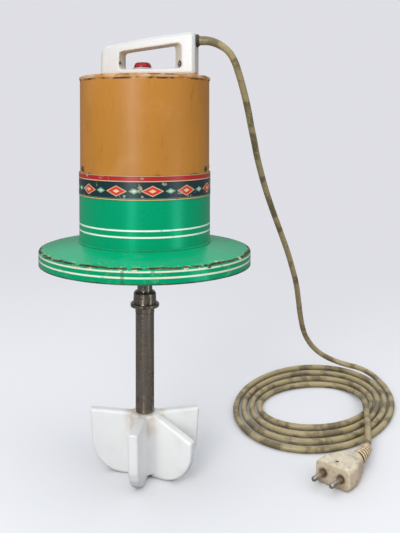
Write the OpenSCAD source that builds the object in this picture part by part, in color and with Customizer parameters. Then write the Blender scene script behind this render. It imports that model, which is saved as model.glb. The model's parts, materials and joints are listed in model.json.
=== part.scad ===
// Electric butter churn: a motor in a two-colour drum on a brimmed lid, which drives a
// bladed impeller through a rod. The axis of the rod is the Z axis, and the blades
// stand on z = 0. The front of the churn looks towards -Y.

/* [Impeller] */
// Radius of the blades at their upper corners
blade_r = 56; // [40:0.5:80]
// Radius of the blades where the lower curve begins
blade_low_r = 54; // [38:0.5:78]
// Radius of the curve under each blade
blade_curve_r = 32; // [20:0.5:36]
// Height of the blades
blade_h = 62.5; // [45:0.5:90]
// Thickness of the blades
blade_t = 10; // [6:0.5:14]
// Chamfer round the blades
blade_edge = 1.6; // [0.5:0.1:2.5]
// Drop of the low blade's upper corner
low_blade_drop = 19; // [0:1:25]
// Radius of the hub
hub_r = 14.3; // [13:0.1:20]
// Height of the hub's recess for the nut
nut_recess_h = 14; // [12:0.5:20]
// Radius of the hub's recess for the nut
nut_recess_r = 11; // [10:0.1:12]

/* [Rod and coupling] */
// Radius of the rod
rod_r = 9.25; // [7:0.05:11]
// Visible length of the rod
rod_l = 100.2; // [60:0.1:180]
// Radius of the rod's two spigots
spigot_r = 6; // [4:0.1:6.5]
// Length of the spigot in the coupling
spigot_l = 9; // [5:0.5:10]
// Radius of the thread under the hub
stud_r = 4; // [3:0.1:5]
// Across the corners of the nut
nut_d = 15; // [12:0.5:19]
// Height of the nut
nut_h = 6.5; // [4:0.5:8]
// Radius of the coupling's foot ring
foot_ring_r = 9.5; // [8:0.1:12]
// Height of the coupling's foot ring
foot_ring_h = 5.5; // [3:0.1:8]
// Radius of the coupling's flange
flange_r = 14.3; // [12:0.1:20]
// Height of the coupling's flange
flange_h = 3.9; // [3.4:0.1:6]
// Radius of the coupling's collar
collar_r = 11.1; // [10:0.1:11.5]
// Height of the coupling's collar
collar_h = 11.8; // [8:0.1:20]
// Radius of the grub screw
grub_r = 1.4; // [1:0.1:1.5]

/* [Lid] */
// Height from the coupling's top to the lid's lower edge
neck_l = 29.4; // [15:0.1:60]
// Radius of the brim
brim_r = 104.5; // [90:0.5:140]
// Height of the skirt
skirt_h = 14.5; // [10:0.5:30]
// Rise of the brim from the skirt to the drum
brim_rise = 6.9; // [4:0.1:15]
// Thickness of the lid's sheet
lid_t = 1.6; // [1:0.1:2.5]
// Width of the hem along the skirt's lower edge
hem_w = 3; // [2:0.1:5]
// Radius of the collar that holds the shaft seal
seal_r = 11; // [10:0.1:14]
// Depth of the shaft seal
seal_h = 5.6; // [3:0.1:6]

/* [Housing] */
// Room between the motor and the outside of the lower drum
motor_room = 6.7; // [6:0.1:12]
// Height of the lower drum
drum_h = 68.6; // [66:0.1:90]
// Step from the lower drum in to the motor cover
cover_step = 0.9; // [0.7:0.1:1.5]
// Height of the motor cover's wall
cover_h = 88.8; // [85:0.1:120]
// Height of the top plate's rolled rim
rim_h = 4.7; // [4.2:0.1:8]
// Radius of the rolled rim's corner
rim_corner = 3.4; // [1:0.1:4]
// Thickness of the housing's sheet
sheet_t = 1; // [0.6:0.1:1.2]
// Height of the printed band
band_h = 22.5; // [10:0.5:40]
// Thickness of the printed band
band_t = 0.3; // [0.2:0.05:0.6]
// Height of the cover screws above the cover's lower edge
screw_rise = 4.2; // [3.6:0.1:7]
// Radius of the heads of the cover screws
screw_head_r = 2.7; // [2:0.1:3.4]

/* [Motor] */
// Radius of the motor
motor_r = 58; // [50:0.5:66]
// Height of the stator's stack of sheets
stack_h = 50; // [30:1:55]
// Bore of the stator, as a radius
stator_bore_r = 30; // [26:0.5:31]
// Air gap between the rotor and the stator
air_gap = 0.4; // [0.3:0.05:0.8]
// Number of slots in the stator
slots = 24; // [12:2:28]
// Radius of the motor shaft
shaft_r = 7.5; // [6:0.1:7.8]
// Radius of the shaft under the rotor
shaft_mid_r = 8.6; // [8.2:0.1:9.5]
// Radius of the shaft's upper journal
shaft_top_r = 6; // [5:0.1:6.5]
// Radius of the through bolts
bolt_r = 2.2; // [1.5:0.1:2.4]
// Radius of the cooling fan
fan_r = 44; // [30:1:46]
// Height of the cooling fan
fan_h = 12; // [6:0.5:14]
// Number of fan blades
fan_blades = 9; // [5:1:14]

/* [Handle] */
// Length of the handle
handle_l = 96; // [90:1:110]
// Width of the handle
handle_w = 22; // [20:0.5:26]
// Height of the handle at its left end
handle_left_h = 29.6; // [27:0.1:40]
// Height of the handle at its right end
handle_right_h = 42; // [40:0.1:50]
// Height of the handle's foot bar
foot_bar_h = 7.6; // [7:0.1:9]
// Turn of the handle on the top plate
handle_turn = -15; // [-45:1:45]
// Distance of the handle's middle from the axis
handle_x = 4.6; // [0:0.1:6]
// Chamfer round the handle's sides
handle_edge = 2.4; // [1:0.1:3]
// Radius of the push button
button_r = 9; // [6:0.1:9]
// Height of the push button's dome
button_h = 6.4; // [4:0.1:8]
// Travel of the push button
button_travel = 2.5; // [1:0.1:2.6]

/* [Cord and plug] */
// Radius of the cord
cord_r = 3.5; // [3:0.1:3.6]
// Length of the plug's body
plug_l = 44; // [35:1:55]
// Width of the plug at its face
plug_w = 37; // [32:1:45]
// Height of the plug
plug_h = 22; // [18:1:28]
// Distance between the plug's pins
pin_gap = 19; // [15:0.5:22]
// Radius of the plug's pins
pin_r = 2.4; // [1.8:0.1:2.6]
// Length of the plug's pins
pin_l = 19; // [12:1:22]
// Ribs on the plug's boot
boot_ribs = 7; // [4:1:9]

/* [Hidden] */
$fn = 96;
eps = 0.01;
seat_gap = 0.1;        // between fixed pieces that fit in each other
run_gap = 0.05;        // between a turning shaft and its bearing
free_gap = 0.3;        // between pieces that move past each other
blade_angles = [-101, -30, 15, 92, 169];
low_blade = 1;         // the blade whose upper corner drops
screw_angles = [-156, -24, 8, 172];

hub_top = blade_h + 0.2;
rod_top = hub_top + rod_l;
flange_z = rod_top + foot_ring_h;
collar_z = flange_z + flange_h;
coupling_top = collar_z + collar_h;
spigot_top = rod_top + spigot_l;
brim_z = coupling_top + neck_l;
skirt_top = brim_z + skirt_h;
lid_top = skirt_top + brim_rise;
lid_under = lid_top - lid_t;
edge_round = 2;
hem_h = 1.8;
bend_z = skirt_top - edge_round - 0.5;  // where the skirt hangs from the lid's rounded edge
cover_z = lid_top + drum_h;
cover_top_z = cover_z + cover_h;
top_z = cover_top_z + rim_h;
plate_z = top_z - sheet_t - 0.2;

drum_r = motor_r + motor_room;
cover_r = drum_r - cover_step;
ring_r = cover_r - sheet_t - seat_gap;
ring_t = 2;
ring_down = 11;
ring_up = 9;

shield_floor = 4.5;
head_h = 13;           // height of a winding head
shield_room = 22.6;    // from the shield's floor to the stator
stack_z = lid_top + shield_floor + shield_room;
stack_top = stack_z + stack_h;
shield_rim = 9;        // width of an end shield's rim
bolt_circle = motor_r - 5.5;
vent_circle = motor_r - 20;
roof_vent_circle = motor_r - 23;
low_bearing = [17.5, 11];
high_bearing = [16, 10];
low_bearing_z = lid_top + shield_floor;
high_bearing_z = stack_top + 11.5;
roof_z = high_bearing_z + high_bearing[1] - 1.5;
roof_t = 5;
cage_h = 5;
rotor_r = stator_bore_r - air_gap;
slot_w = 3.4;
slot_in = stator_bore_r + 1.8;
slot_out = motor_r - 11.5;
fan_z = roof_z + roof_t + 3;
shaft_end = fan_z + fan_h + 4;
nut_seat = roof_z + roof_t;

cage_bars = 20;
cage_bar_r = 1.9;
cage_circle = rotor_r - 3.4;
cap_r = 15;
cap_l = 52;
cap_y = 0.62 * motor_r;
cap_mid_z = plate_z - 4.8 - cap_r;

button_u = -6.9;
boss_r = button_r + free_gap + 0.9;
boss_top = top_z + foot_bar_h + 1.2;
well_z = top_z + 5.2;
cap_z = well_z + button_travel + free_gap;
stem_r = 3.5;
catch_r = 4.8;
catch_z = plate_z - 6.3;
catch_h = 2;
stem_z = plate_z - 9.4;
switch_size = [26, 20, 22];
post_left = -25.2;     // inner face of the left post
post_right = 26.3;     // inner face of the right post
grip_left = top_z + 23.6;
grip_right = top_z + 30.2;
gland_u = handle_l / 2;
gland_z = top_z + 34;
gland_r = 5.4;
gland_l = 3;
cord_way_u = gland_u - 7;
cord_way_l = 20;
handle_screw_l = 11;
handle_screw_u = [-37, 31.5];

// The plug lies on the floor, with its pins towards the front left
plug_face = [181, -28];
plug_heading = 46;
boot_pitch = 5;
boot_turn = 2.3;       // bend of the boot at each rib

// Route of the hanging cord, from the handle to the floor
hang_route = [
    [62, -14.9, 430.5], [69.6, -15, 428.3], [76.6, -13.8, 424.6], [82.6, -11.2, 419.6],
    [88.2, -6, 411.5], [92.4, 1, 402.5], [96.5, 8.5, 392.3], [101, 18.2, 380],
    [106, 30, 365], [111, 47, 350], [117, 65, 332], [123, 84, 314],
    [130, 103, 295], [138, 122, 275], [147, 140, 254], [157, 158, 232], [167, 175, 210],
    [177, 191, 187], [186, 206, 163], [194, 221, 139], [200, 236, 114], [206, 252, 88],
    [214, 267, 62], [222, 277, 47], [233, 285, 33], [247, 288, 22], [263, 286, 15],
    [277, 280, 12], [290, 271, 11], [300.5, 259, 8.8], [307, 246, 6], [309.6, 234, 4.2]];
// Route of the last stretch, from the coil to the plug's boot
lead_route = [
    [240, 226, 3.6], [251, 220, 3.9], [260, 210, 4.4], [265, 198, 5.2], [267, 184, 6.7],
    [266.8, 170, 8.7], [265.2, 156, 10.6], [262.5, 142, 11.9], [259.5, 128, 12.1],
    [256.3, 114, 12], [252.8, 100, 12], [249, 86, 12], [245.5, 73, 12], [242, 61, 11.9],
    [239, 50, 11.4]];
// The coil: a leaning oval whose size and place change evenly from turn to turn
coil_start = 18;       // angle at which the cord joins the coil
coil_rings = 24;       // steps in a turn
coil_steps = 91;       // steps in the whole coil
coil_turns = coil_steps / coil_rings;
function coil_mid(k) = [206, 173.9 - 1.8 * k];
function coil_half(k) = [104.4 - 10 * k, 137.6 - 20.1 * k];
function coil_lean(k) = 19.2 - 0.8 * k;
function coil_point(k) =
    let (a = coil_start - 360 * k, m = coil_mid(k), h = coil_half(k))
    [m[0] + h[0] * cos(a - coil_lean(k)), m[1] + h[1] * sin(a), cord_r];

// Helpers

function unit(v) = v / norm(v);
function with_halves(p) = [for (i = [0:len(p) - 1]) each i == len(p) - 1 ? [p[i]] :
    [p[i], (9 * (p[i] + p[i + 1]) - p[max(i - 1, 0)] - p[min(i + 2, len(p) - 1)]) / 16]];
function route_length(p) =
    len(p) < 2 ? 0 : norm(p[1] - p[0]) + route_length([for (i = [1:len(p) - 1]) p[i]]);
function cord_ring(p, t, r, n) = let (s = unit(cross(t, [0, 0, 1])), w = cross(s, t))
    [for (j = [0:n - 1]) p + r * (cos(360 * j / n) * s + sin(360 * j / n) * w)];

// A tube through the points p, whose ends are square to the directions first and last
module tube(p, r, n, first, last) {
    m = len(p);
    t = [for (i = [0:m - 1]) i == 0 ? first : i == m - 1 ? last : unit(p[i + 1] - p[i - 1])];
    points = [for (i = [0:m - 1]) each cord_ring(p[i], t[i], r, n)];
    sides = [for (i = [0:m - 2], j = [0:n - 1]) let (a = i * n, k = (j + 1) % n)
        each [[a + j, a + k, a + n + k], [a + j, a + n + k, a + n + j]]];
    caps = [[for (j = [n - 1:-1:0]) j], [for (j = [0:n - 1]) (m - 1) * n + j]];
    polyhedron(points, concat(sides, caps));
}

// A ring with a bore
module ring(r, bore, h) {
    difference() {
        cylinder(r = r, h = h);
        translate([0, 0, -1]) cylinder(r = bore, h = h + 2);
    }
}

module at_handle(u = 0) {
    translate([handle_x, 0, 0]) rotate([0, 0, handle_turn]) translate([u, 0, 0]) children();
}

module at_plug() {
    translate([plug_face[0], plug_face[1], plug_h / 2]) rotate([0, 0, plug_heading])
        children();
}

module at_bolts(z) {
    for (i = [0:3]) rotate([0, 0, 45 + 90 * i]) translate([bolt_circle, 0, z]) children();
}

// Impeller

module blade(drop) {
    c = blade_edge;
    module outline(d) {
        mid = blade_low_r - blade_curve_r;
        polygon(concat([[0, d]],
            [for (a = [-90:15:0]) [mid + (blade_curve_r - d) * cos(a),
                blade_curve_r + (blade_curve_r - d) * sin(a)]],
            [[blade_r - d - drop * 0.1, blade_h - d - drop], [hub_r, blade_h - d], [0, blade_h - d]]));
    }
    rotate([90, 0, 0]) hull() {
        linear_extrude(blade_t, center = true) outline(c);
        linear_extrude(blade_t - 2 * c, center = true) outline(0);
    }
}

module impeller() {
    color("whitesmoke") difference() {
        union() {
            translate([0, 0, 4]) cylinder(r = hub_r, h = hub_top - 5);
            translate([0, 0, hub_top - 1]) cylinder(r1 = hub_r, r2 = hub_r - 1, h = 1);
            for (i = [0:len(blade_angles) - 1])
                rotate([0, 0, blade_angles[i]]) blade(i == low_blade ? low_blade_drop : 0);
        }
        translate([0, 0, -1]) cylinder(r = nut_recess_r, h = nut_recess_h + 1);
        cylinder(r = spigot_r + seat_gap, h = hub_top + 1);
    }
}

module impeller_nut() {
    color("dimgray") difference() {
        translate([0, 0, nut_recess_h - nut_h]) cylinder(d = nut_d, h = nut_h, $fn = 6);
        cylinder(r = stud_r + run_gap, h = nut_recess_h + 1);
    }
}

module churn_rod() {
    color("dimgray") rotate_extrude() polygon([
        [0, nut_recess_h - nut_h - 2], [stud_r - 1, nut_recess_h - nut_h - 2],
        [stud_r, nut_recess_h - nut_h - 1], [stud_r, nut_recess_h], [spigot_r, nut_recess_h],
        [spigot_r, hub_top], [rod_r - 0.5, hub_top], [rod_r, hub_top + 0.5],
        [rod_r, rod_top - 0.5], [rod_r - 0.5, rod_top], [spigot_r, rod_top],
        [spigot_r, spigot_top - 1], [spigot_r - 1, spigot_top], [0, spigot_top]]);
}

module drive_coupling() {
    shaft_end_z = spigot_top + 2;
    color("gray") difference() {
        rotate_extrude() polygon([
            [0, rod_top], [foot_ring_r, rod_top], [foot_ring_r, flange_z - 1.2],
            [foot_ring_r - 0.7, flange_z - 1.2], [foot_ring_r - 0.7, flange_z],
            [flange_r - 0.6, flange_z], [flange_r, flange_z + 0.6], [flange_r, collar_z - 0.6],
            [flange_r - 0.6, collar_z], [collar_r + 0.4, collar_z], [collar_r, coupling_top - 2],
            [collar_r - 1.4, coupling_top], [0, coupling_top]]);
        translate([0, 0, rod_top - 1]) cylinder(r = spigot_r + seat_gap, h = spigot_l + 1.5);
        translate([0, 0, shaft_end_z - 0.5]) cylinder(r = shaft_r + seat_gap, h = collar_h + 20);
        translate([0, 0, flange_z + flange_h / 2]) rotate([90, 0, 0])
            cylinder(r = grub_r + seat_gap, h = flange_r + 1, $fn = 32);
    }
}

module grub_screw() {
    color("black") translate([0, 0, flange_z + flange_h / 2]) rotate([90, 0, 0])
        translate([0, 0, spigot_r + seat_gap])
            cylinder(r = grub_r, h = flange_r - spigot_r - 1.2, $fn = 32);
}

// Lid

module lid_brim() {
    color("seagreen") difference() {
        rotate_extrude() polygon([
            [shaft_r + 1, lid_top], [drum_r, lid_top], [brim_r - edge_round, skirt_top],
            [brim_r - 0.6, skirt_top - 0.6], [brim_r, skirt_top - edge_round], [brim_r, bend_z],
            [brim_r - lid_t, bend_z], [brim_r - lid_t - 1.2, skirt_top - lid_t],
            [drum_r, lid_under], [shaft_r + 1, lid_under]]);
        at_bolts(lid_under - 1) cylinder(r = bolt_r + seat_gap, h = lid_t + 2, $fn = 32);
    }
}

module lid_skirt() {
    color("seagreen") rotate_extrude() polygon([
        [brim_r, bend_z], [brim_r, brim_z], [brim_r - hem_w, brim_z],
        [brim_r - hem_w, brim_z + hem_h], [brim_r - lid_t, brim_z + hem_h],
        [brim_r - lid_t, bend_z]]);
}

module seal_collar() {
    color("seagreen") translate([0, 0, lid_under - seal_h]) ring(seal_r + lid_t, seal_r, seal_h);
}

module shaft_seal() {
    color("black") translate([0, 0, lid_under - seal_h])
        ring(seal_r - seat_gap, shaft_r + free_gap, seal_h);
}

// Housing

module lower_drum() {
    color("seagreen") rotate_extrude() polygon([
        [drum_r, lid_top], [drum_r, cover_z], [drum_r - sheet_t, cover_z],
        [drum_r - sheet_t, lid_top + sheet_t], [motor_r + 1, lid_top + sheet_t],
        [motor_r + 1, lid_top]]);
}

module trim_band() {
    color("midnightblue") translate([0, 0, cover_z - band_h])
        ring(drum_r + band_t + eps, drum_r + eps, band_h);
}

module joining_ring() {
    color("silver") difference() {
        rotate_extrude() polygon([
            [ring_r - ring_t, cover_z - ring_down], [drum_r - sheet_t - seat_gap, cover_z - ring_down],
            [drum_r - sheet_t - seat_gap, cover_z], [ring_r, cover_z], [ring_r, cover_z + ring_up],
            [ring_r - ring_t, cover_z + ring_up]]);
        at_cover_screws() cylinder(r = 1.5 + seat_gap, h = 40, center = true, $fn = 32);
    }
}

module at_cover_screws() {
    for (a = screw_angles) rotate([0, 0, a]) translate([cover_r, 0, cover_z + screw_rise])
        rotate([0, 90, 0]) children();
}

module cover_screws() {
    color("dimgray") at_cover_screws() difference() {
        union() {
            translate([0, 0, -sheet_t - ring_t - 1.4])
                cylinder(r = 1.5, h = sheet_t + ring_t + 1.5, $fn = 32);
            cylinder(r1 = screw_head_r, r2 = screw_head_r - 0.8, h = 1.3, $fn = 32);
        }
        translate([-screw_head_r - 1, -0.4, 0.7]) cube([2 * screw_head_r + 2, 0.8, 2]);
    }
}

module cover_wall() {
    color("peru") difference() {
        translate([0, 0, cover_z]) ring(cover_r, cover_r - sheet_t, cover_h);
        at_cover_screws() cylinder(r = 1.5 + seat_gap, h = 20, center = true, $fn = 32);
    }
}

module cover_top() {
    inner = cover_r - sheet_t - seat_gap;
    color("tan") difference() {
        rotate_extrude() polygon(concat(
            [[0, plate_z], [cover_r - rim_corner - 0.5, plate_z],
                [inner - 1.1, plate_z - 2], [inner - 1.1, cover_top_z - 4], [inner, cover_top_z - 4],
                [inner, cover_top_z], [cover_r, cover_top_z]],
            [for (a = [0:15:90]) [cover_r - rim_corner + rim_corner * cos(a),
                top_z - rim_corner + rim_corner * sin(a)]],
            [[0, top_z]]));
        at_handle(button_u) translate([0, 0, plate_z - 1]) cylinder(r = stem_r + 0.6, h = 5);
        at_handle(cord_way_u) translate([0, 0, plate_z - 1]) cylinder(r = 4, h = 5, $fn = 48);
        for (u = handle_screw_u) at_handle(u) translate([0, 0, plate_z - 1])
            cylinder(r = 2.1, h = 5, $fn = 32);
    }
}

// Handle, switch and gland

// A rod across the handle with chamfered ends, for the hull of its body
module cross_rod(u, z, r) {
    translate([u, 0, z]) rotate([90, 0, 0]) {
        cylinder(r = r, h = handle_w - 2 * handle_edge, center = true, $fn = 32);
        cylinder(r = max(r - handle_edge, 0.4), h = handle_w, center = true, $fn = 32);
    }
}

// The finger gap: straight in the middle and wider towards the face on side s
module finger_gap(s) {
    module frame_at(v, left, right, rise) {
        floor_z = top_z + foot_bar_h;
        translate([0, v, 0]) for (c = [[left + 3, floor_z + 3 - rise / 2, 3],
                [right - 3, floor_z + 3 - rise / 2, 3],
                [left + 3, grip_left - 3 + rise, 3], [right - 4, grip_right - 4 + rise, 4]])
            translate([c[0], 0, c[1]]) rotate([90, 0, 0])
                cylinder(r = c[2], h = 0.2, center = true, $fn = 32);
    }
    hull() {
        frame_at(0, post_left, post_right, 0);
        frame_at(s * (handle_w / 2 + 0.5), post_left - 2.8, post_right + 9, 0.9);
    }
}

module handle() {
    half = handle_l / 2;
    color("ivory") at_handle() difference() {
        union() {
            difference() {
                hull() {
                    cross_rod(-half + 3, top_z + 3, 3);
                    cross_rod(half - 3, top_z + 3, 3);
                    cross_rod(-half + 9, top_z + handle_left_h - 7.2, 8.4);
                    cross_rod(2, top_z + 32.8, 5);
                    cross_rod(half - 5, top_z + handle_right_h - 5, 5);
                }
                finger_gap(-1);
                finger_gap(1);
            }
            translate([button_u, 0, top_z + 1]) cylinder(r = boss_r, h = boss_top - top_z - 1);
        }
        translate([button_u, 0, well_z]) cylinder(r = button_r + free_gap, h = 10);
        translate([button_u, 0, top_z - 1]) cylinder(r = stem_r + free_gap, h = 10);
        translate([cord_way_u, 0, top_z - 1]) cylinder(r = 4, h = gland_z - top_z + 1, $fn = 48);
        translate([cord_way_u, 0, gland_z]) rotate([0, 90, 0]) {
            cylinder(r = 4, h = cord_way_l, $fn = 48);
            translate([0, 0, 1]) cylinder(r = gland_r + seat_gap, h = cord_way_l);
        }
        for (u = handle_screw_u) translate([u, 0, top_z - 1])
            cylinder(r = 1.8, h = handle_screw_l + 1, $fn = 32);
    }
}

module handle_screws() {
    color("silver") for (u = handle_screw_u) at_handle(u) {
        translate([0, 0, plate_z - 2.2]) cylinder(r = 3.6, h = 2.2, $fn = 32);
        translate([0, 0, plate_z - 1]) cylinder(r = 1.7, h = handle_screw_l, $fn = 32);
    }
}

module push_button() {
    dome = button_h - 1.6;
    color("firebrick") at_handle(button_u) {
        rotate_extrude() polygon(concat(
            [[0, stem_z], [stem_r, stem_z], [stem_r, catch_z], [catch_r, catch_z],
                [catch_r, catch_z + catch_h], [stem_r, catch_z + catch_h], [stem_r, cap_z],
                [button_r, cap_z], [button_r, cap_z + 1.6]],
            [for (a = [15:15:75]) [button_r - 4 + 4 * cos(a), cap_z + 1.6 + (dome - 0.6) * sin(a)]],
            [[button_r - 4, cap_z + button_h - 0.5], [0, cap_z + button_h]]));
    }
}

module switch_body() {
    top = plate_z;
    color("black") at_handle(button_u) difference() {
        translate([-switch_size[0] / 2, -switch_size[1] / 2, top - switch_size[2]])
            cube(switch_size);
        translate([0, 0, stem_z - button_travel - 1]) cylinder(r = stem_r + free_gap, h = 40);
        translate([0, 0, catch_z - button_travel - free_gap])
            cylinder(r = catch_r + free_gap, h = button_travel + catch_h + 2 * free_gap);
    }
}

module cord_gland() {
    color("dimgray") at_handle(gland_u) translate([0, 0, gland_z]) rotate([0, 90, 0])
        rotate_extrude() polygon([[0, -5.8], [gland_r, -5.8], [gland_r, 0], [gland_r + 0.9, 0],
            [gland_r + 0.9, 1], [cord_r + 1, gland_l], [0, gland_l]]);
}

// Cord and plug

gland_dir = [cos(handle_turn), sin(handle_turn), 0];
gland_tip = [handle_x, 0, gland_z] + (gland_u + gland_l) * gland_dir;
coil_in = unit(coil_point(0.005) - coil_point(0));
coil_out = unit(coil_point(coil_turns) - coil_point(coil_turns - 0.005));
coil_first = coil_point(0) - 2 * cord_r * coil_in;
coil_last = coil_point(coil_turns) + 2 * cord_r * coil_out;
coil_route = concat([coil_first],
    [for (i = [0:coil_steps]) coil_point(i / coil_rings)], [coil_last]);
plug_tail = plug_face + plug_l * [cos(plug_heading), sin(plug_heading)];
// The boot bends a little at each rib, so its joints are found by adding up its steps
boot_joint = [for (i = 0, p = plug_tail, a = plug_heading; i <= boot_ribs;
    p = p + boot_pitch * [cos(a), sin(a)], a = a + boot_turn, i = i + 1) p];
boot_tip = [boot_joint[boot_ribs][0], boot_joint[boot_ribs][1], plug_h / 2];
boot_heading = plug_heading + boot_ribs * boot_turn;
lead_dir = -[cos(boot_heading), sin(boot_heading), 0];
hang_points = with_halves(concat([gland_tip], hang_route, [coil_first]));
lead_points = with_halves(concat([coil_last], lead_route, [boot_tip]));

module mains_cord() {
    color("darkkhaki") tube(hang_points, cord_r, 10, gland_dir, coil_in);
}

module cord_coil() {
    color("darkkhaki") tube(coil_route, cord_r, 6, coil_in, coil_out);
}

module plug_lead() {
    color("darkkhaki") tube(lead_points, cord_r, 10, coil_out, lead_dir);
}

// Least distance of the coil from itself, measured between points half a turn apart or more
coil_gap = min([for (i = [0:coil_steps - 13], j = [i + 12:coil_steps])
    norm(coil_route[i] - coil_route[j])]) - 2 * cord_r;
echo(coil_gap = coil_gap, cord_length =
    route_length(hang_points) + route_length(coil_route) + route_length(lead_points));

module plug_boot() {
    base_r = 8.2;
    end_r = 5.2;
    color("wheat") for (i = [0:boot_ribs - 1]) {
        r = base_r + (end_r - base_r) * i / (boot_ribs - 1);
        translate([boot_joint[i][0], boot_joint[i][1], plug_h / 2])
            rotate([0, 0, plug_heading + i * boot_turn]) rotate([0, 90, 0]) {
                cylinder(r = r - 1, h = boot_pitch + (i < boot_ribs - 1 ? 0.3 : 0), $fn = 32);
                translate([0, 0, i == 0 ? 0 : 1]) cylinder(r = r, h = 2.6, $fn = 32);
            }
    }
}

module plug_body() {
    module slab(x, l, w, h, r) {
        for (y = [-1, 1], z = [-1, 1]) translate([x, y * (w / 2 - r), z * (h / 2 - r)])
            rotate([0, 90, 0]) cylinder(r = r, h = l, $fn = 24);
    }
    color("wheat") at_plug() difference() {
        union() {
            hull() {
                slab(1.2, 15, plug_w, plug_h, 5);
                slab(0, 1, plug_w - 2.4, plug_h - 2.4, 4);
                slab(plug_l - 8, 4, 24, plug_h - 3, 6);
            }
            hull() {
                slab(plug_l - 8, 4, 22, plug_h - 3, 6);
                slab(plug_l - 1, 1, 18, 17.6, 8);
            }
        }
        for (y = [-1, 1]) translate([-1, y * pin_gap / 2, 0]) rotate([0, 90, 0])
            cylinder(r = pin_r + 0.9, h = 9, $fn = 48);
    }
}

module plug_pins() {
    color("silver") at_plug() for (y = [-1, 1]) translate([0, y * pin_gap / 2, 0])
        rotate([0, -90, 0]) rotate_extrude($fn = 48) polygon(concat(
            [[0, -7.9], [pin_r + 0.8, -7.9], [pin_r + 0.8, 2], [pin_r, 5], [pin_r, pin_l - 1.6]],
            [for (a = [30:30:90]) [pin_r - 1.6 + 1.6 * cos(a), pin_l - 1.6 + 1.6 * sin(a)]],
            [[0, pin_l]]));
}

// Motor: fixed pieces

module slot_pattern(grow) {
    for (i = [0:slots - 1]) rotate(360 * i / slots)
        translate([slot_in, -slot_w / 2 - grow]) square([slot_out - slot_in, slot_w + 2 * grow]);
}

module stator_core() {
    color("slategray") difference() {
        translate([0, 0, stack_z]) linear_extrude(stack_h) difference() {
            circle(r = motor_r);
            circle(r = stator_bore_r);
            slot_pattern(0);
        }
        at_bolts(stack_z - 1) cylinder(r = bolt_r + seat_gap, h = stack_h + 2, $fn = 32);
    }
}

module stator_windings() {
    color("chocolate") {
        translate([0, 0, stack_z - 0.2]) linear_extrude(stack_h + 0.4) slot_pattern(-seat_gap);
        for (z = [stack_z - head_h, stack_top + 0.1]) translate([0, 0, z])
            ring(slot_out - 1, slot_in + 0.2, head_h - 0.1 - (z > stack_z ? 2 : 0));
    }
}

module lower_end_shield() {
    color("lightgray") difference() {
        union() {
            translate([0, 0, lid_top]) cylinder(r = motor_r, h = shield_floor);
            translate([0, 0, lid_top]) ring(motor_r, motor_r - shield_rim, stack_z - lid_top);
            translate([0, 0, lid_top])
                cylinder(r = low_bearing[0] + 4, h = shield_floor + low_bearing[1]);
        }
        translate([0, 0, lid_top - 1]) cylinder(r = shaft_r + 1.5, h = shield_floor + 2);
        translate([0, 0, low_bearing_z])
            cylinder(r = low_bearing[0] + seat_gap, h = low_bearing[1] + 1);
        at_bolts(lid_top - 1) cylinder(r = bolt_r + seat_gap, h = stack_z, $fn = 32);
        for (i = [0:3]) rotate([0, 0, 90 * i]) translate([vent_circle, 0, lid_top - 1])
            cylinder(r = 7, h = shield_floor + 2);
    }
}

module upper_end_shield() {
    color("lightgray") difference() {
        union() {
            translate([0, 0, roof_z]) cylinder(r = motor_r, h = roof_t);
            translate([0, 0, stack_top]) ring(motor_r, motor_r - shield_rim, roof_z + 1 - stack_top);
            translate([0, 0, high_bearing_z])
                cylinder(r = high_bearing[0] + 4, h = roof_z + 1 - high_bearing_z);
        }
        translate([0, 0, high_bearing_z - 1])
            cylinder(r = high_bearing[0] + seat_gap, h = high_bearing[1] + 1);
        translate([0, 0, high_bearing_z]) cylinder(r = shaft_top_r + 1.5, h = 30);
        at_bolts(stack_top - 1) cylinder(r = bolt_r + seat_gap, h = nut_seat - stack_top + 2, $fn = 32);
        for (i = [0:7]) rotate([0, 0, 45 * i]) translate([roof_vent_circle, 0, roof_z - 1])
            cylinder(r = 6, h = roof_t + 2);
    }
}

module motor_bolts() {
    color("silver") {
        at_bolts(lid_under - 3) cylinder(r = 4.2, h = 3, $fn = 6);
        at_bolts(lid_under - 1) cylinder(r = bolt_r, h = nut_seat - lid_under + 6, $fn = 32);
        at_bolts(nut_seat) cylinder(r = 4.2, h = 3.5, $fn = 6);
    }
}

module bearing(size, bore, z) {
    r = size[0];
    h = size[1];
    color("silver") translate([0, 0, z]) rotate_extrude() polygon([
        [bore, 0], [bore + 2.5, 0], [bore + 2.5, 0.8], [r - 2.5, 0.8], [r - 2.5, 0], [r, 0], [r, h],
        [r - 2.5, h], [r - 2.5, h - 0.8], [bore + 2.5, h - 0.8], [bore + 2.5, h], [bore, h]]);
}

module lower_bearing() {
    bearing(low_bearing, shaft_r + run_gap, low_bearing_z);
}

module upper_bearing() {
    bearing(high_bearing, shaft_top_r + run_gap, high_bearing_z);
}

module capacitor() {
    color("gainsboro") translate([-cap_l / 2, cap_y, cap_mid_z]) rotate([0, 90, 0]) {
        cylinder(r = cap_r, h = cap_l);
        translate([0, 0, cap_l - 1]) cylinder(r = cap_r - 5, h = 3);
    }
}

module capacitor_clamp() {
    color("silver") difference() {
        union() {
            translate([-6, cap_y, cap_mid_z]) rotate([0, 90, 0]) cylinder(r = cap_r + 1.3, h = 12);
            translate([-6, cap_y - 8, cap_mid_z]) cube([12, 16, plate_z - cap_mid_z]);
        }
        translate([-10, cap_y, cap_mid_z]) rotate([0, 90, 0])
            cylinder(r = cap_r + seat_gap, h = 20);
    }
}

// Motor: turning pieces

module motor_shaft() {
    z0 = spigot_top + 2;
    z1 = low_bearing_z + low_bearing[1] + free_gap;
    z2 = high_bearing_z - free_gap;
    color("silver") rotate_extrude() polygon([
        [0, z0], [shaft_r - 1, z0], [shaft_r, z0 + 1], [shaft_r, z1], [shaft_mid_r, z1],
        [shaft_mid_r, z2], [shaft_top_r, z2], [shaft_top_r, shaft_end - 1],
        [shaft_top_r - 1, shaft_end], [0, shaft_end]]);
}

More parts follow.
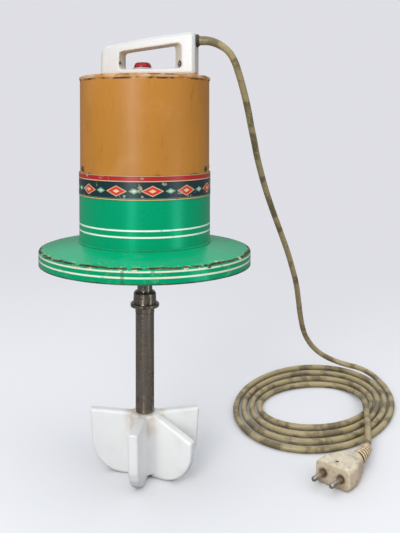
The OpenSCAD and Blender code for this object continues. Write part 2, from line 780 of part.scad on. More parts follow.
module rotor_core() {
    color("slategray") translate([0, 0, stack_z]) linear_extrude(stack_h) difference() {
        circle(r = rotor_r);
        circle(r = shaft_mid_r + eps);
        for (i = [0:cage_bars - 1]) rotate(360 * i / cage_bars) translate([cage_circle, 0])
            circle(r = cage_bar_r + seat_gap, $fn = 24);
    }
}

module rotor_cage() {
    color("gainsboro") {
        for (z = [stack_z - cage_h, stack_top + eps]) translate([0, 0, z])
            ring(cage_circle + 2.4, cage_circle - 6, cage_h - eps);
        for (i = [0:cage_bars - 1]) rotate([0, 0, 360 * i / cage_bars])
            translate([cage_circle, 0, stack_z - 1])
                cylinder(r = cage_bar_r, h = stack_h + 2, $fn = 24);
    }
}

module cooling_fan() {
    color("whitesmoke") difference() {
        union() {
            translate([0, 0, fan_z]) cylinder(r = 11, h = fan_h);
            translate([0, 0, fan_z]) cylinder(r = fan_r, h = 1.6);
            for (i = [0:fan_blades - 1]) rotate([0, 0, 360 * i / fan_blades])
                translate([9, -0.8, fan_z]) cube([fan_r - 9.4, 1.6, fan_h]);
        }
        translate([0, 0, fan_z - 1]) cylinder(r = shaft_top_r + run_gap, h = fan_h + 2);
    }
}

cover_wall();
cover_top();
cover_screws();
joining_ring();
lower_drum();
trim_band();
lid_brim();
lid_skirt();
seal_collar();
shaft_seal();
handle();
handle_screws();
push_button();
switch_body();
cord_gland();
mains_cord();
cord_coil();
plug_lead();
plug_boot();
plug_body();
plug_pins();
stator_core();
stator_windings();
lower_end_shield();
upper_end_shield();
motor_bolts();
lower_bearing();
upper_bearing();
capacitor();
capacitor_clamp();
motor_shaft();
rotor_core();
rotor_cage();
cooling_fan();
drive_coupling();
grub_screw();
churn_rod();
impeller();
impeller_nut();
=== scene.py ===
"""Electric butter churn: its finishes, its moulded pieces, its cord and a studio round it.

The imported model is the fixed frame, in metres. The churn's axis is the Z axis, its front
looks towards -Y, and it stands on z = 0.
"""

import json
import math

import bpy
from bpy.props import FloatProperty, FloatVectorProperty, IntProperty, PointerProperty
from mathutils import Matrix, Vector

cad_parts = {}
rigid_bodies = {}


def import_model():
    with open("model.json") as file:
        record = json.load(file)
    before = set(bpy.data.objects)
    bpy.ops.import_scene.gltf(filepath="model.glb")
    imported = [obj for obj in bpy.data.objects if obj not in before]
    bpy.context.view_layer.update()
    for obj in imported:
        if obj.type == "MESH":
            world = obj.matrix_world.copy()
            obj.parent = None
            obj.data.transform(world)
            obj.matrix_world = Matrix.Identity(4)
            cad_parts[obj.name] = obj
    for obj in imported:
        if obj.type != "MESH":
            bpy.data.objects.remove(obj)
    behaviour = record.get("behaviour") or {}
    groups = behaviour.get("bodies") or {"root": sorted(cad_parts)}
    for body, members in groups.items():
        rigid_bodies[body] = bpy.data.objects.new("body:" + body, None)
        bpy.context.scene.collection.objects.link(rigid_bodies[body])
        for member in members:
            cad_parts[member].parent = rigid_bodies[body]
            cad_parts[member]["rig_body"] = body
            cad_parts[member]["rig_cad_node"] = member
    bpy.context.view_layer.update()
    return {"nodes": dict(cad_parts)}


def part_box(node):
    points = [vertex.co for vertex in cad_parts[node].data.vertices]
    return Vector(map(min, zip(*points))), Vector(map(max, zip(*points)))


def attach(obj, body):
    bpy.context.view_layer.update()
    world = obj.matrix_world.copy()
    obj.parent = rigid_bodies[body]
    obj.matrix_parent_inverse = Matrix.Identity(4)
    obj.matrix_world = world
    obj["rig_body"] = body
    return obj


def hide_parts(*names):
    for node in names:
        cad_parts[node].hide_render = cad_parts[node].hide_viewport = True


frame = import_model()

bl_info = {
    "name": "Butter churn",
    "version": (1, 0, 0),
    "blender": (4, 5, 0),
    "location": "View3D > Sidebar > Churn",
    "description": "Dresses the churn's solids with mouldings, a cord and worn finishes",
    "category": "Object",
}

MM = 0.001
HOUSING, SPINDLE, BUTTON = "housing", "spindle", "button"

# Heights and radii that the finishes and the new pieces line up with
SKIRT_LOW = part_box("lid_skirt")[0]
DRUM_LOW, DRUM_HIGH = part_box("lower_drum")
BAND_LOW, BAND_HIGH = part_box("trim_band")
WALL_LOW, WALL_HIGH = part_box("cover_wall")
TOP_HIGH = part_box("cover_top")[1]
IMPELLER_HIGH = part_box("impeller")[1]
BUTTON_LOW, BUTTON_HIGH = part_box("push_button")
BRIM_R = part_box("lid_brim")[1].x
DRUM_R = DRUM_HIGH.x
COVER_R = WALL_HIGH.x
SKIRT_RISE = 14.5 * MM
SKIRT_TOP = SKIRT_LOW.z + SKIRT_RISE

# The push button's stem, the stop on it and its cap
BUTTON_MID = (BUTTON_LOW + BUTTON_HIGH) / 2
STEM_R, STOP_R, CAP_R = 3.4 * MM, 4.8 * MM, 8.8 * MM
STOP_LOW = BUTTON_LOW.z + 3.1 * MM
STOP_HIGH = BUTTON_LOW.z + 5.1 * MM
CAP_LOW = BUTTON_HIGH.z - 6.4 * MM

# Heights and widths of the painted lines, and the joint in the skirt's sheet
DRUM_LINES = ((253.6 * MM, 1.5 * MM), (247.5 * MM, 1.5 * MM))
LID_LINES = ((224.9 * MM, 1.5 * MM), (219.7 * MM, 1.6 * MM))
SEAM_ANGLE = math.radians(-99.5)
SEAM_SPAN = 0.03

# The band's row of lozenges
BAND_CELLS = 12
LOZENGE_MID = BAND_LOW.z + 8.6 * MM

# Black scuffs on the handle: their centres and radii in millimetres
SCUFFS = (((34.5, -16, 408), 5), ((36.5, -11, 407), 4.6), ((-23, -2.5, 410), 3.2))

# The cord's route in millimetres, as in the solids
CORD_R = 3.5
SLEEVE_WALL = 0.15
HANDLE_X = 4.6
HANDLE_TURN = math.radians(-15)
GLAND_REACH = 51
GLAND_TIP = (
    HANDLE_X + GLAND_REACH * math.cos(HANDLE_TURN), GLAND_REACH * math.sin(HANDLE_TURN), 431)
HANG_ROUTE = [
    (62, -14.9, 430.5), (69.6, -15, 428.3), (76.6, -13.8, 424.6), (82.6, -11.2, 419.6),
    (88.2, -6, 411.5), (92.4, 1, 402.5), (96.5, 8.5, 392.3), (101, 18.2, 380),
    (106, 30, 365), (111, 47, 350), (117, 65, 332), (123, 84, 314),
    (130, 103, 295), (138, 122, 275), (147, 140, 254), (157, 158, 232), (167, 175, 210),
    (177, 191, 187), (186, 206, 163), (194, 221, 139), (200, 236, 114), (206, 252, 88),
    (214, 267, 62), (222, 277, 47), (233, 285, 33), (247, 288, 22), (263, 286, 15),
    (277, 280, 12), (290, 271, 11), (300.5, 259, 8.8), (307, 246, 6), (309.6, 234, 4.2),
]
LEAD_ROUTE = [
    (240, 226, 3.6), (251, 220, 3.9), (260, 210, 4.4), (265, 198, 5.2), (267, 184, 6.7),
    (266.8, 170, 8.7), (265.2, 156, 10.6), (262.5, 142, 11.9), (259.5, 128, 12.1),
    (256.3, 114, 12), (252.8, 100, 12), (249, 86, 12), (245.5, 73, 12), (242, 61, 11.9),
    (239, 50, 11.4),
]
BOOT_TIP = (232.609, 31.4765, 11)

# The coil's oval, in millimetres and degrees, with what each turn takes from it
COIL_X, COIL_Y = 206, 173.9
COIL_WIDE, COIL_DEEP = 104.4, 137.6
COIL_LEAN = 19.2
COIL_START = 18
WIDE_LOSS, DEEP_LOSS, Y_LOSS, LEAN_LOSS = 10, 20.1, 1.8, 0.8
COIL_STEPS_A_TURN = 24
COIL_STEPS = 91

# The plug and its boot, in metres
PLUG_FACE = Vector((181, -28, 11)) * MM
PLUG_LENGTH = 44 * MM
PLUG_HEADING = math.radians(46)
PLUG_ALONG = Vector((math.cos(PLUG_HEADING), math.sin(PLUG_HEADING), 0))
PLUG_ASIDE = Vector((-PLUG_ALONG.y, PLUG_ALONG.x, 0))
PLUG_HOLE_PLACE = PLUG_FACE + 9 * MM * PLUG_ALONG + Vector((0, 0, 11 * MM))
PIN_OFFSET = 9.5 * MM
BOOT_TAIL = PLUG_FACE + PLUG_LENGTH * PLUG_ALONG
BOOT_R = 8.2 * MM
BOOT_TAPER = 0.5 * MM
BOOT_PITCH = 5 * MM
BOOT_TURN = math.radians(2.3)
BOOT_RIBS = 7
BOOT_WEB = 0.9 * MM
GROOVE_START = 0.15 * MM
GROOVE_DEPTH = 0.6 * MM

# The studio in metres: the frame's shift, each lamp's place and width, the sky, the floor
CAMERA_SHIFT = (0.0763, -0.239)
LAMPS = {
    "key": ((-0.45, -1.2, 0.8), 0.8), "fill": ((1.1, -0.8, 0.8), 0.9),
    "low": ((0.75, -0.5, 0.1), 0.3), "strip": ((-0.47, -1.28, 0.35), 0.26)}
STRIP_HEIGHT = 1.1
LAMP_AIM_X = 0.05
LAMP_AIM_HIGH = 0.35
SKY = (0.95, 0.97, 1)
SKY_FADES = (0.1, 0.75)
SKY_LOWEST = 0.05
FLOOR_R = 12
FLOOR_MIDDLE_R = 1
FLOOR_FADES = (0.35, 1.5)


def coil_point(turn):
    """A point of the coil's leaning oval, in millimetres, after so many turns."""
    angle = math.radians(COIL_START - 360 * turn)
    lean = math.radians(COIL_LEAN - LEAN_LOSS * turn)
    wide = COIL_WIDE - WIDE_LOSS * turn
    deep = COIL_DEEP - DEEP_LOSS * turn
    return (COIL_X + wide * math.cos(angle - lean),
            COIL_Y - Y_LOSS * turn + deep * math.sin(angle), CORD_R)


def cord_points():
    """The cord's whole route in metres, from the handle to the plug's boot."""
    coil = [coil_point(step / COIL_STEPS_A_TURN) for step in range(COIL_STEPS + 1)]
    return [Vector(p) * MM for p in [GLAND_TIP, *HANG_ROUTE, *coil, *LEAD_ROUTE, BOOT_TIP]]


def colour_setting(name, description, default):
    return FloatVectorProperty(
        name=name, description=description, default=default, subtype="COLOR")


def length_setting(name, description, default):
    return FloatProperty(
        name=name, description=description, default=default, subtype="DISTANCE")


class ChurnColours(bpy.types.PropertyGroup):
    """Base colours of the churn's finishes"""

    tan: colour_setting("Motor cover", "Enamel of the motor cover", (0.47, 0.198, 0.028))
    green: colour_setting(
        "Drum and lid", "Enamel of the drum and the lid", (0.001, 0.31, 0.137))
    band: colour_setting("Band", "Ground of the printed band", (0.003, 0.022, 0.03))
    line: colour_setting("Lid's lines", "Painted lines of the lid", (0.78, 0.8, 0.62))
    drum_line: colour_setting("Drum's lines", "Painted lines of the drum", (0.86, 0.9, 0.8))
    moulding: colour_setting("Handle", "Moulded handle", (0.645, 0.66, 0.66))
    impeller: colour_setting("Impeller", "Moulded impeller", (0.86, 0.86, 0.855))
    button: colour_setting("Button", "Push button", (0.34, 0.003, 0.01))
    cord: colour_setting("Cord", "Sheath of the cord", (0.4, 0.32, 0.165))
    plug: colour_setting("Plug", "Plug and its boot", (0.66, 0.54, 0.39))
    steel: colour_setting("Rod", "Steel of the rod and the coupling", (0.3, 0.265, 0.215))
    rust: colour_setting("Rust", "Rust on steel and on chipped edges", (0.12, 0.045, 0.018))


class ChurnSizes(bpy.types.PropertyGroup):
    """Sizes of what is added to the churn's solids"""

    handle_grain: length_setting(
        "Handle grain", "Voxel at which the handle is remeshed", 0.6 * MM)
    impeller_grain: length_setting(
        "Impeller grain", "Voxel at which the impeller is remeshed", 0.8 * MM)
    plug_grain: length_setting("Plug grain", "Voxel at which the plug is remeshed", 0.5 * MM)
    boot_grain: length_setting(
        "Boot grain", "Voxel at which the plug's boot is remeshed", 0.3 * MM)
    sleeve_length: length_setting(
        "Sleeve length", "Length of the cord's sleeve at the handle", 26 * MM)
    sleeve_radius: length_setting(
        "Sleeve radius", "Radius of the sleeve where it leaves the handle", 4.6 * MM)
    seam_radius: length_setting("Seam radius", "Radius of the rolled seam's section", 0.9 * MM)
    bead_radius: length_setting(
        "Bead radius", "Radius of the bead at the drum's foot", 1.1 * MM)
    cord_sides: IntProperty(
        name="Cord sides", description="Fineness of the cord's round section", default=4)


class ChurnStudio(bpy.types.PropertyGroup):
    """Camera, lamps and backdrop"""

    camera: FloatVectorProperty(
        name="Camera", description="Place of the camera", subtype="TRANSLATION",
        default=(0.01445, -0.7009, 0.35353))
    pitch: FloatProperty(
        name="Pitch", description="How far the camera looks down", subtype="ANGLE",
        default=math.radians(1.5))
    lens: FloatProperty(name="Lens", description="Focal length in millimetres", default=47.75)
    key: FloatProperty(name="Key lamp", description="Power of the key lamp in watts", default=9.2)
    fill: FloatProperty(
        name="Fill lamp", description="Power of the fill lamp in watts", default=1.5)
    strip: FloatProperty(
        name="Strip lamp", description="Power of the tall strip lamp in watts", default=4.6)
    low: FloatProperty(
        name="Low lamp", description="Power of the lamp beside the impeller in watts", default=0.9)
    world: FloatProperty(
        name="World", description="Strength of the light from above", default=1.15)
    mirrored: FloatProperty(
        name="Mirrored backdrop", description="Share of the backdrop that reflections show",
        default=0.25, min=0, max=1, subtype="FACTOR")
    floor: colour_setting("Floor", "Colour of the floor", (0.8, 0.8, 0.825))
    backdrop: colour_setting("Backdrop", "Colour behind the churn", (0.735, 0.737, 0.78))


class Field:
    """A value that varies over a surface: arithmetic on it adds Math nodes to its tree."""

    def __init__(self, nodes, socket):
        self.nodes = nodes
        self.socket = socket

    def math(self, operation, *values):
        return self.nodes.node(
            "ShaderNodeMath", {"operation": operation}, dict(enumerate(values)))

    def through(self, operation):
        """The value put through an operation that takes one number."""
        return self.math(operation, self)

    def over(self, other):
        """The larger of two values."""
        return self.math("MAXIMUM", self, other)

    def __add__(self, other):
        return self.math("ADD", self, other)

    def __sub__(self, other):
        return self.math("SUBTRACT", self, other)

    def __rsub__(self, other):
        return self.math("SUBTRACT", other, self)

    def __mul__(self, other):
        return self.math("MULTIPLY", self, other)

    def __truediv__(self, other):
        return self.math("DIVIDE", self, other)

    def __abs__(self):
        return self.through("ABSOLUTE")

    __radd__ = __add__
    __rmul__ = __mul__


class Nodes:
    """A tree of shader nodes under construction, with its output node."""

    def __init__(self, tree, output):
        tree.nodes.clear()
        self.tree = tree
        self.output = tree.nodes.new(output)

    def node(self, kind, settings=None, inputs=None, output=0):
        """Adds a node of that kind, sets it, fills its sockets and returns one output."""
        made = self.tree.nodes.new(kind)
        for name, value in (settings or {}).items():
            setattr(made, name, value)
        for name, value in (inputs or {}).items():
            self.join(made.inputs[name], value)
        return Field(self, made.outputs[output])

    def join(self, socket, value):
        """Links a field to a socket, or sets the socket to a number or a colour."""
        if isinstance(value, Field):
            self.tree.links.new(value.socket, socket)
        elif socket.type == "RGBA":
            socket.default_value = (*value, 1)
        else:
            socket.default_value = value

    def show(self, shader):
        self.join(self.output.inputs[0], shader)


class Finish(Nodes):
    """A material under construction: its shader, and the fields that its functions share."""

    def __init__(self, name, metallic=0.0, shine=0.5):
        self.material = bpy.data.materials.new(name)
        self.material.use_nodes = True
        super().__init__(self.material.node_tree, "ShaderNodeOutputMaterial")
        self.shader = self.tree.nodes.new("ShaderNodeBsdfPrincipled")
        self.show(Field(self, self.shader.outputs[0]))
        self.feed("Metallic", metallic)
        self.feed("Specular IOR Level", shine)
        self.place = self.node("ShaderNodeTexCoord", output="Object")
        self.x, self.y, self.z = (
            self.node("ShaderNodeSeparateXYZ", inputs={0: self.place}, output=axis)
            for axis in "XYZ")

    def feed(self, name, value):
        self.join(self.shader.inputs[name], value)

    def coat(self, weight, roughness):
        """Clear varnish, the same all over."""
        self.feed("Coat Weight", weight)
        self.feed("Coat Roughness", roughness)

    def bump(self, height, distance):
        """Raises the surface by height times distance."""
        self.feed("Normal", self.node(
            "ShaderNodeBump", inputs={"Height": height, "Distance": distance}))

    def step(self, value, low, high):
        """0 where value is under low and 1 where it is over high, with a soft change."""
        return self.node(
            "ShaderNodeMapRange", {"interpolation_type": "SMOOTHSTEP"},
            {"Value": value, "From Min": low, "From Max": high})

    def below(self, value, low, high):
        """1 where value is under low and 0 where it is over high."""
        return 1 - self.step(value, low, high)

    def stripe(self, value, middle, width):
        """1 on a stripe of that width, with sharp but smooth sides."""
        return self.below(abs(value - middle), width * 0.42, width * 0.58)

    def two_lines(self, lines):
        """1 on two level lines, given by their heights and widths."""
        first, second = (self.stripe(self.z, height, width) for height, width in lines)
        return first.over(second)

    def near(self, place, inner, outer):
        """1 within the inner distance of a place and 0 beyond the outer one."""
        gap = self.node("ShaderNodeVectorMath", {"operation": "DISTANCE"},
                        {0: self.place, 1: tuple(place)}, "Value")
        return self.below(gap, inner, outer)

    def noise(self, scale, detail=3.0, roughness=0.55, stretch=(1, 1, 1), shift=(0, 0, 0)):
        """Cloudy noise, whose features are about 1 / scale metres wide."""
        moved = self.node("ShaderNodeMapping", inputs={
            "Vector": self.place, "Scale": stretch, "Location": shift})
        return self.node("ShaderNodeTexNoise", inputs={
            "Vector": moved, "Scale": scale, "Detail": detail, "Roughness": roughness})

    def patches(self, low, high, scale, detail, **noise):
        """Patches of noise: 0 where it is under low and 1 where it is over high."""
        return self.step(self.noise(scale, detail, **noise), low, high)

    def ragged(self, reach, scale, detail, **noise):
        """The height, taken up and down by noise for the uneven edge of a mark."""
        return self.z + reach * (self.noise(scale, detail, **noise) - 0.5)

    def specks(self, scale, size, shift=(0, 0, 0)):
        """Scattered dots: 1 inside a dot."""
        moved = self.node("ShaderNodeMapping", inputs={"Vector": self.place, "Location": shift})
        gap = self.node("ShaderNodeTexVoronoi", inputs={"Vector": moved, "Scale": scale})
        return self.below(gap, size * 0.6, size)

    def mix(self, factor, under, upper):
        """The colour under, with upper laid over it where factor is 1."""
        return self.node(
            "ShaderNodeMix", {"data_type": "RGBA"}, {0: factor, 6: under, 7: upper}, 2)

    def shade(self, colour, factor):
        """The colour times a value."""
        if not isinstance(colour, Field):
            colour = self.node("ShaderNodeCombineXYZ", inputs=dict(enumerate(colour)))
        grey = self.node("ShaderNodeCombineXYZ", inputs={0: factor, 1: factor, 2: factor})
        return self.node(
            "ShaderNodeVectorMath", {"operation": "MULTIPLY"}, {0: colour, 1: grey})

    def facing(self, axis):
        """How far the surface faces along an axis, from -1 to 1."""
        normal = self.node("ShaderNodeNewGeometry", output="Normal")
        return self.node("ShaderNodeSeparateXYZ", inputs={0: normal}, output=axis)

    def up(self):
        return self.facing(2)

    def radius(self):
        """The distance from the churn's axis."""
        return (self.x * self.x + self.y * self.y).through("SQRT")

    def angle(self):
        """The angle round the churn's axis, in radians."""
        return self.y.math("ARCTAN2", self.y, self.x)


def colours():
    return bpy.context.scene.churn_colours


def sizes():
    return bpy.context.scene.churn_sizes


def studio():
    return bpy.context.scene.churn_studio


def chosen(name):
    """The colour of that name in the settings."""
    return tuple(getattr(colours(), name))


# Finishes

# Colours of wear, dirt and bare material, and of painted shade and painted light, that lie over
# the finishes
TAN_STAIN = (0.3, 0.11, 0.02)
TAN_SCRATCH = (0.22, 0.09, 0.02)
TAN_FADED = (0.6, 0.31, 0.12)
TAN_PRIMER = ((0.5, 0.24, 0.09), (0.72, 0.52, 0.33))
GREEN_SCUFF = (0.1, 0.45, 0.28)
GREEN_RUBBED = (0.25, 0.55, 0.27)
GREEN_SHEEN = (0.1, 1, 0.7)
DRUM_FOOT_SHADE = (0.05, 0.06, 0.03)
LID_PRIMER = (0.62, 0.6, 0.36)
LID_SEAM_SHADE = (0.02, 0.12, 0.05)
LID_UNDERSIDE_SHADE = (0.09, 0.1, 0.07)
OLD_RUST = (0.028, 0.018, 0.011)
BAND_GOLD = (0.62, 0.4, 0.2)
BAND_RED = (0.62, 0.035, 0.02)
BAND_CREAM = (0.72, 0.55, 0.34)
BAND_TEAL = (0.2, 0.42, 0.28)
BAND_PALE = (0.62, 0.66, 0.5)
BAND_CHIP = (0.4, 0.36, 0.25)
TINT_YELLOW = (0.82, 0.7, 0.4)
BAR_EDGE_SHADE = (0.12, 0.1, 0.07)
HANDLE_FOOT_SHADE = (0.3, 0.24, 0.15)
SCUFF = (0.035, 0.035, 0.035)
ROD_STAIN = (0.42, 0.27, 0.09)
IMPELLER_GRIME = (0.52, 0.5, 0.42)
STEEL_RUST = ((0.03, 0.02, 0.013), (0.09, 0.058, 0.032))
SHEET = (0.3, 0.31, 0.33)
SHEET_EDGE = (0.05, 0.045, 0.04)
COPPER = (0.6, 0.24, 0.08)
DUST = (0.2, 0.18, 0.15)
CORD_GRIME = (0.085, 0.062, 0.03)
CORD_RUBBED = (0.5, 0.42, 0.27)
BOOT_PALE = (0.78, 0.58, 0.34)
PLUG_TOP_LIGHT = (0.82, 0.78, 0.62)
PLUG_GRIME = (0.26, 0.17, 0.09)
PLUG_SPECKS = (0.2, 0.125, 0.06)
PLUG_LOW_SHADE = (0.3, 0.21, 0.13)
PLUG_SCRATCH = (0.78, 0.72, 0.6)
PLUG_HOLE_SHADE = (0.03, 0.02, 0.01)
SOCKET_BROWN = (0.16, 0.09, 0.035)
GROOVE_SHADE = (0.07, 0.035, 0.012)
NICKEL = (0.62, 0.57, 0.48)
PIN_BROWN = (0.1, 0.06, 0.025)


def tan_enamel():
    """Aged enamel of the motor cover, with its top edge worn to primer and rust."""
    f = Finish("tan_enamel", shine=0.25)
    cloud = f.noise(9, 4)
    streak = f.noise(30, 3, stretch=(1, 1, 0.12))
    grain = f.noise(420, 2)
    base = f.shade(chosen("tan"), 0.68 + 0.34 * cloud + 0.26 * streak + 0.06 * grain)
    stain = f.patches(0.5, 0.72, 34, 6, roughness=0.72, stretch=(1, 1, 0.5), shift=(5, 0, 3))
    base = f.mix(stain * 0.3, base, TAN_STAIN)
    scratch = f.patches(0.61, 0.69, 240, 4, stretch=(1, 1, 0.16), shift=(0, 4, 1))
    base = f.mix(scratch * 0.3, base, TAN_SCRATCH)
    base = f.mix(f.patches(0.5, 0.75, 16, 5, shift=(3, 1, 2)) * 0.4, base, TAN_FADED)
    rub = f.step(f.ragged(4 * MM, 60, 4), WALL_HIGH.z - 0.6 * MM, WALL_HIGH.z + 1 * MM)
    rim = f.step(f.radius(), COVER_R - 8 * MM, COVER_R - 3 * MM)
    worn = rub * (0.12 + 0.88 * rim) * f.patches(0.4, 0.52, 95, 5, shift=(1, 5, 0))
    base = f.mix(worn * 0.8, base, f.mix(f.noise(70, 4), *TAN_PRIMER))
    crease = f.stripe(f.ragged(1.6 * MM, 75, 3, shift=(7, 0, 0)), WALL_HIGH.z, 1.5 * MM)
    rust = crease * f.patches(0.44, 0.56, 60, 4, shift=(4, 2, 9))
    chips = f.specks(120, 0.24) * f.patches(0.6, 0.68, 11, 2)
    foot = f.below(f.z, WALL_LOW.z + 0.3 * MM, WALL_LOW.z + 2.2 * MM) * f.patches(0.48, 0.6, 45, 4)
    lip = f.stripe(f.ragged(1.2 * MM, 85, 3, shift=(7, 5, 0)), TOP_HIGH.z - 1.2 * MM, 1.2 * MM)
    lip = lip * f.patches(0.5, 0.56, 100, 5, shift=(9, 2, 9))
    dark = rust.over(chips * 0.55).over(foot * 0.6).over(lip * 0.8)
    f.feed("Base Color", f.mix(dark, base, chosen("rust")))
    f.feed("Roughness", 0.36 + 0.16 * cloud + 0.3 * dark)
    f.bump(0.5 * f.noise(140, 3) + 0.5 * cloud - 0.8 * dark, 0.35 * MM)
    f.coat(0.2, 0.26)
    return f.material


def green_base(f):
    """The green enamel's own colour, before lines and wear, and its cloudiness."""
    cloud = f.noise(12, 4)
    base = f.shade(chosen("green"), 0.86 + 0.22 * cloud + 0.06 * f.noise(380, 2))
    scuff = f.patches(0.6, 0.8, 26, 6, roughness=0.7, shift=(2, 2, 8)) * 0.2
    f.feed("Specular Tint", GREEN_SHEEN)
    return f.mix(scuff, base, GREEN_SCUFF), cloud


def drum_enamel():
    """Green enamel of the lower drum, with two painted lines near its foot and painted shade at
    its foot.
    """
    f = Finish("drum_enamel", shine=0.55)
    base, cloud = green_base(f)
    worn = 1 - 0.5 * f.patches(0.58, 0.7, 90, 4)
    base = f.mix(f.two_lines(DRUM_LINES) * worn, base, chosen("drum_line"))
    # Darker in patches just above the drum's foot: painted shade where the drum meets the brim.
    foot = f.below(f.z, DRUM_LOW.z + 0.2 * MM, DRUM_LOW.z + 1.6 * MM)
    foot_shade = foot * f.patches(0.45, 0.6, 55, 4) * 0.7
    f.feed("Base Color", f.mix(foot_shade, base, DRUM_FOOT_SHADE))
    f.feed("Roughness", 0.2 + 0.14 * cloud + 0.3 * foot_shade)
    f.bump(0.5 * cloud + 0.3 * f.noise(160, 2), 0.25 * MM)
    return f.material


def lid_enamel():
    """Green enamel of the lid: lines on its skirt, rusty chips along its edge, painted light on
    its top, and painted shade on its downward faces and along the skirt's joint.
    """
    f = Finish("lid_enamel", shine=0.4)
    base, cloud = green_base(f)
    # Faces turned up are painted lighter: painted light on the lid's top.
    base = f.shade(base, 1 + 0.25 * f.step(f.up(), 0.3, 0.9))
    r = f.radius()
    side = f.step(r, BRIM_R - 1.1 * MM, BRIM_R - 0.4 * MM)
    thin = 1 - 0.6 * f.patches(0.6, 0.68, 110, 4, shift=(0, 3, 3))
    base = f.mix(f.two_lines(LID_LINES) * thin * side, base, chosen("line"))
    # A dark stripe down the skirt's joint: painted shade of the seam.
    base = f.mix(f.stripe(f.angle(), SEAM_ANGLE, SEAM_SPAN) * side * 0.55, base, LID_SEAM_SHADE)
    wander = 2.2 * MM * (f.noise(90, 4, shift=(1, 1, 5)) - 0.5)
    edge = f.stripe(f.z - SKIRT_TOP + 0.6 * wander, -0.5 * MM, 1.2 * MM)
    wide = f.stripe(f.z - SKIRT_TOP + 2 * wander, -1.1 * MM, 3.2 * MM)
    rust = (edge * f.patches(0.42, 0.47, 110, 5, roughness=0.75)).over(
        wide * f.patches(0.6, 0.64, 62, 5, roughness=0.8, shift=(6, 2, 2)))
    primer = wide * f.patches(0.57, 0.62, 140, 4, roughness=0.7, shift=(5, 5, 1))
    hem = f.below(f.z + 0.3 * wander, SKIRT_LOW.z + 0.7 * MM, SKIRT_LOW.z + 1.3 * MM)
    hem = hem * (0.65 + 0.35 * f.patches(0.4, 0.55, 50, 4, shift=(9, 0, 4)))
    spots = f.specks(70, 0.2, shift=(3, 0, 1)) * f.patches(0.6, 0.66, 24, 3, shift=(8, 8, 8))
    rim = f.step(r, BRIM_R - 22 * MM, BRIM_R - 3 * MM)
    rubbed = (0.25 + 0.75 * rim) * f.patches(0.54, 0.68, 75, 6, roughness=0.75) * 0.35
    base = f.mix(rubbed, base, GREEN_RUBBED)
    base = f.mix(primer, base, LID_PRIMER)
    dark = rust.over(hem).over(spots * 0.8)
    flake = f.patches(0.42, 0.6, 170, 4, roughness=0.7, shift=(2, 6, 6))
    base = f.mix(dark, base, f.mix(flake, OLD_RUST, chosen("rust")))
    # Downward faces are darkened in patches: painted shade underneath the lid.
    grime_and_shade = f.below(f.up(), -0.6, -0.2) * f.patches(0.42, 0.62, 20, 5, shift=(1, 9, 1)) * 0.6
    f.feed("Base Color", f.mix(grime_and_shade, base, LID_UNDERSIDE_SHADE))
    f.feed("Roughness", 0.15 + 0.14 * cloud + 0.4 * dark + 0.2 * grime_and_shade)
    f.bump(0.5 * cloud + 0.3 * f.noise(150, 2) - 1.2 * dark, 0.3 * MM)
    return f.material


def printed_band():
    """Printed band: a red stripe, thin cream lines and a row of lozenges on dark blue."""
    f = Finish("printed_band")
    cell_width = 2 * math.pi * DRUM_R / BAND_CELLS
    turn = f.angle() * (BAND_CELLS / (2 * math.pi)) + 20.25
    across = (turn.through("FRACT") - 0.5) * cell_width
    between = cell_width / 2 - abs(across)
    up = abs(f.z - LOZENGE_MID)
    cloud = f.noise(26, 4)
    base = f.shade(chosen("band"), 0.7 + 0.7 * cloud)
    lozenge = abs(across) / (9.5 * MM) + up / (4.6 * MM)
    small = between / (5.2 * MM) + up / (2.6 * MM)
    for form, inner, outer, tone in (
            (lozenge, 1.08, 1.14, BAND_GOLD), (lozenge, 0.88, 0.93, BAND_RED),
            (lozenge, 0.34, 0.4, BAND_CREAM), (small, 0.9, 1.05, BAND_TEAL),
            (small, 0.4, 0.5, BAND_PALE)):
        base = f.mix(f.below(form, inner, outer), base, tone)
    for height, width, tone in (
            (BAND_LOW.z + 0.7 * MM, 0.9 * MM, (0.6, 0.45, 0.17)),
            (BAND_LOW.z + 1.9 * MM, 0.5 * MM, (0.1, 0.25, 0.2)),
            (BAND_HIGH.z - 5.0 * MM, 0.9 * MM, (0.7, 0.42, 0.2)),
            (BAND_HIGH.z - 2.6 * MM, 3.6 * MM, (0.43, 0.012, 0.015)),
            (BAND_HIGH.z - 0.3 * MM, 0.6 * MM, (0.55, 0.35, 0.2))):
        base = f.mix(f.stripe(f.z, height, width), base, tone)
    chips = f.patches(0.61, 0.66, 85, 5, roughness=0.65)
    base = f.mix(chips, base, BAND_CHIP)
    rust = f.patches(0.63, 0.68, 60, 5, roughness=0.7, shift=(2, 7, 1))
    f.feed("Base Color", f.mix(rust, base, chosen("rust")))
    f.feed("Roughness", 0.26 + 0.14 * cloud + 0.35 * rust)
    f.bump(cloud - chips - rust, 0.12 * MM)
    return f.material


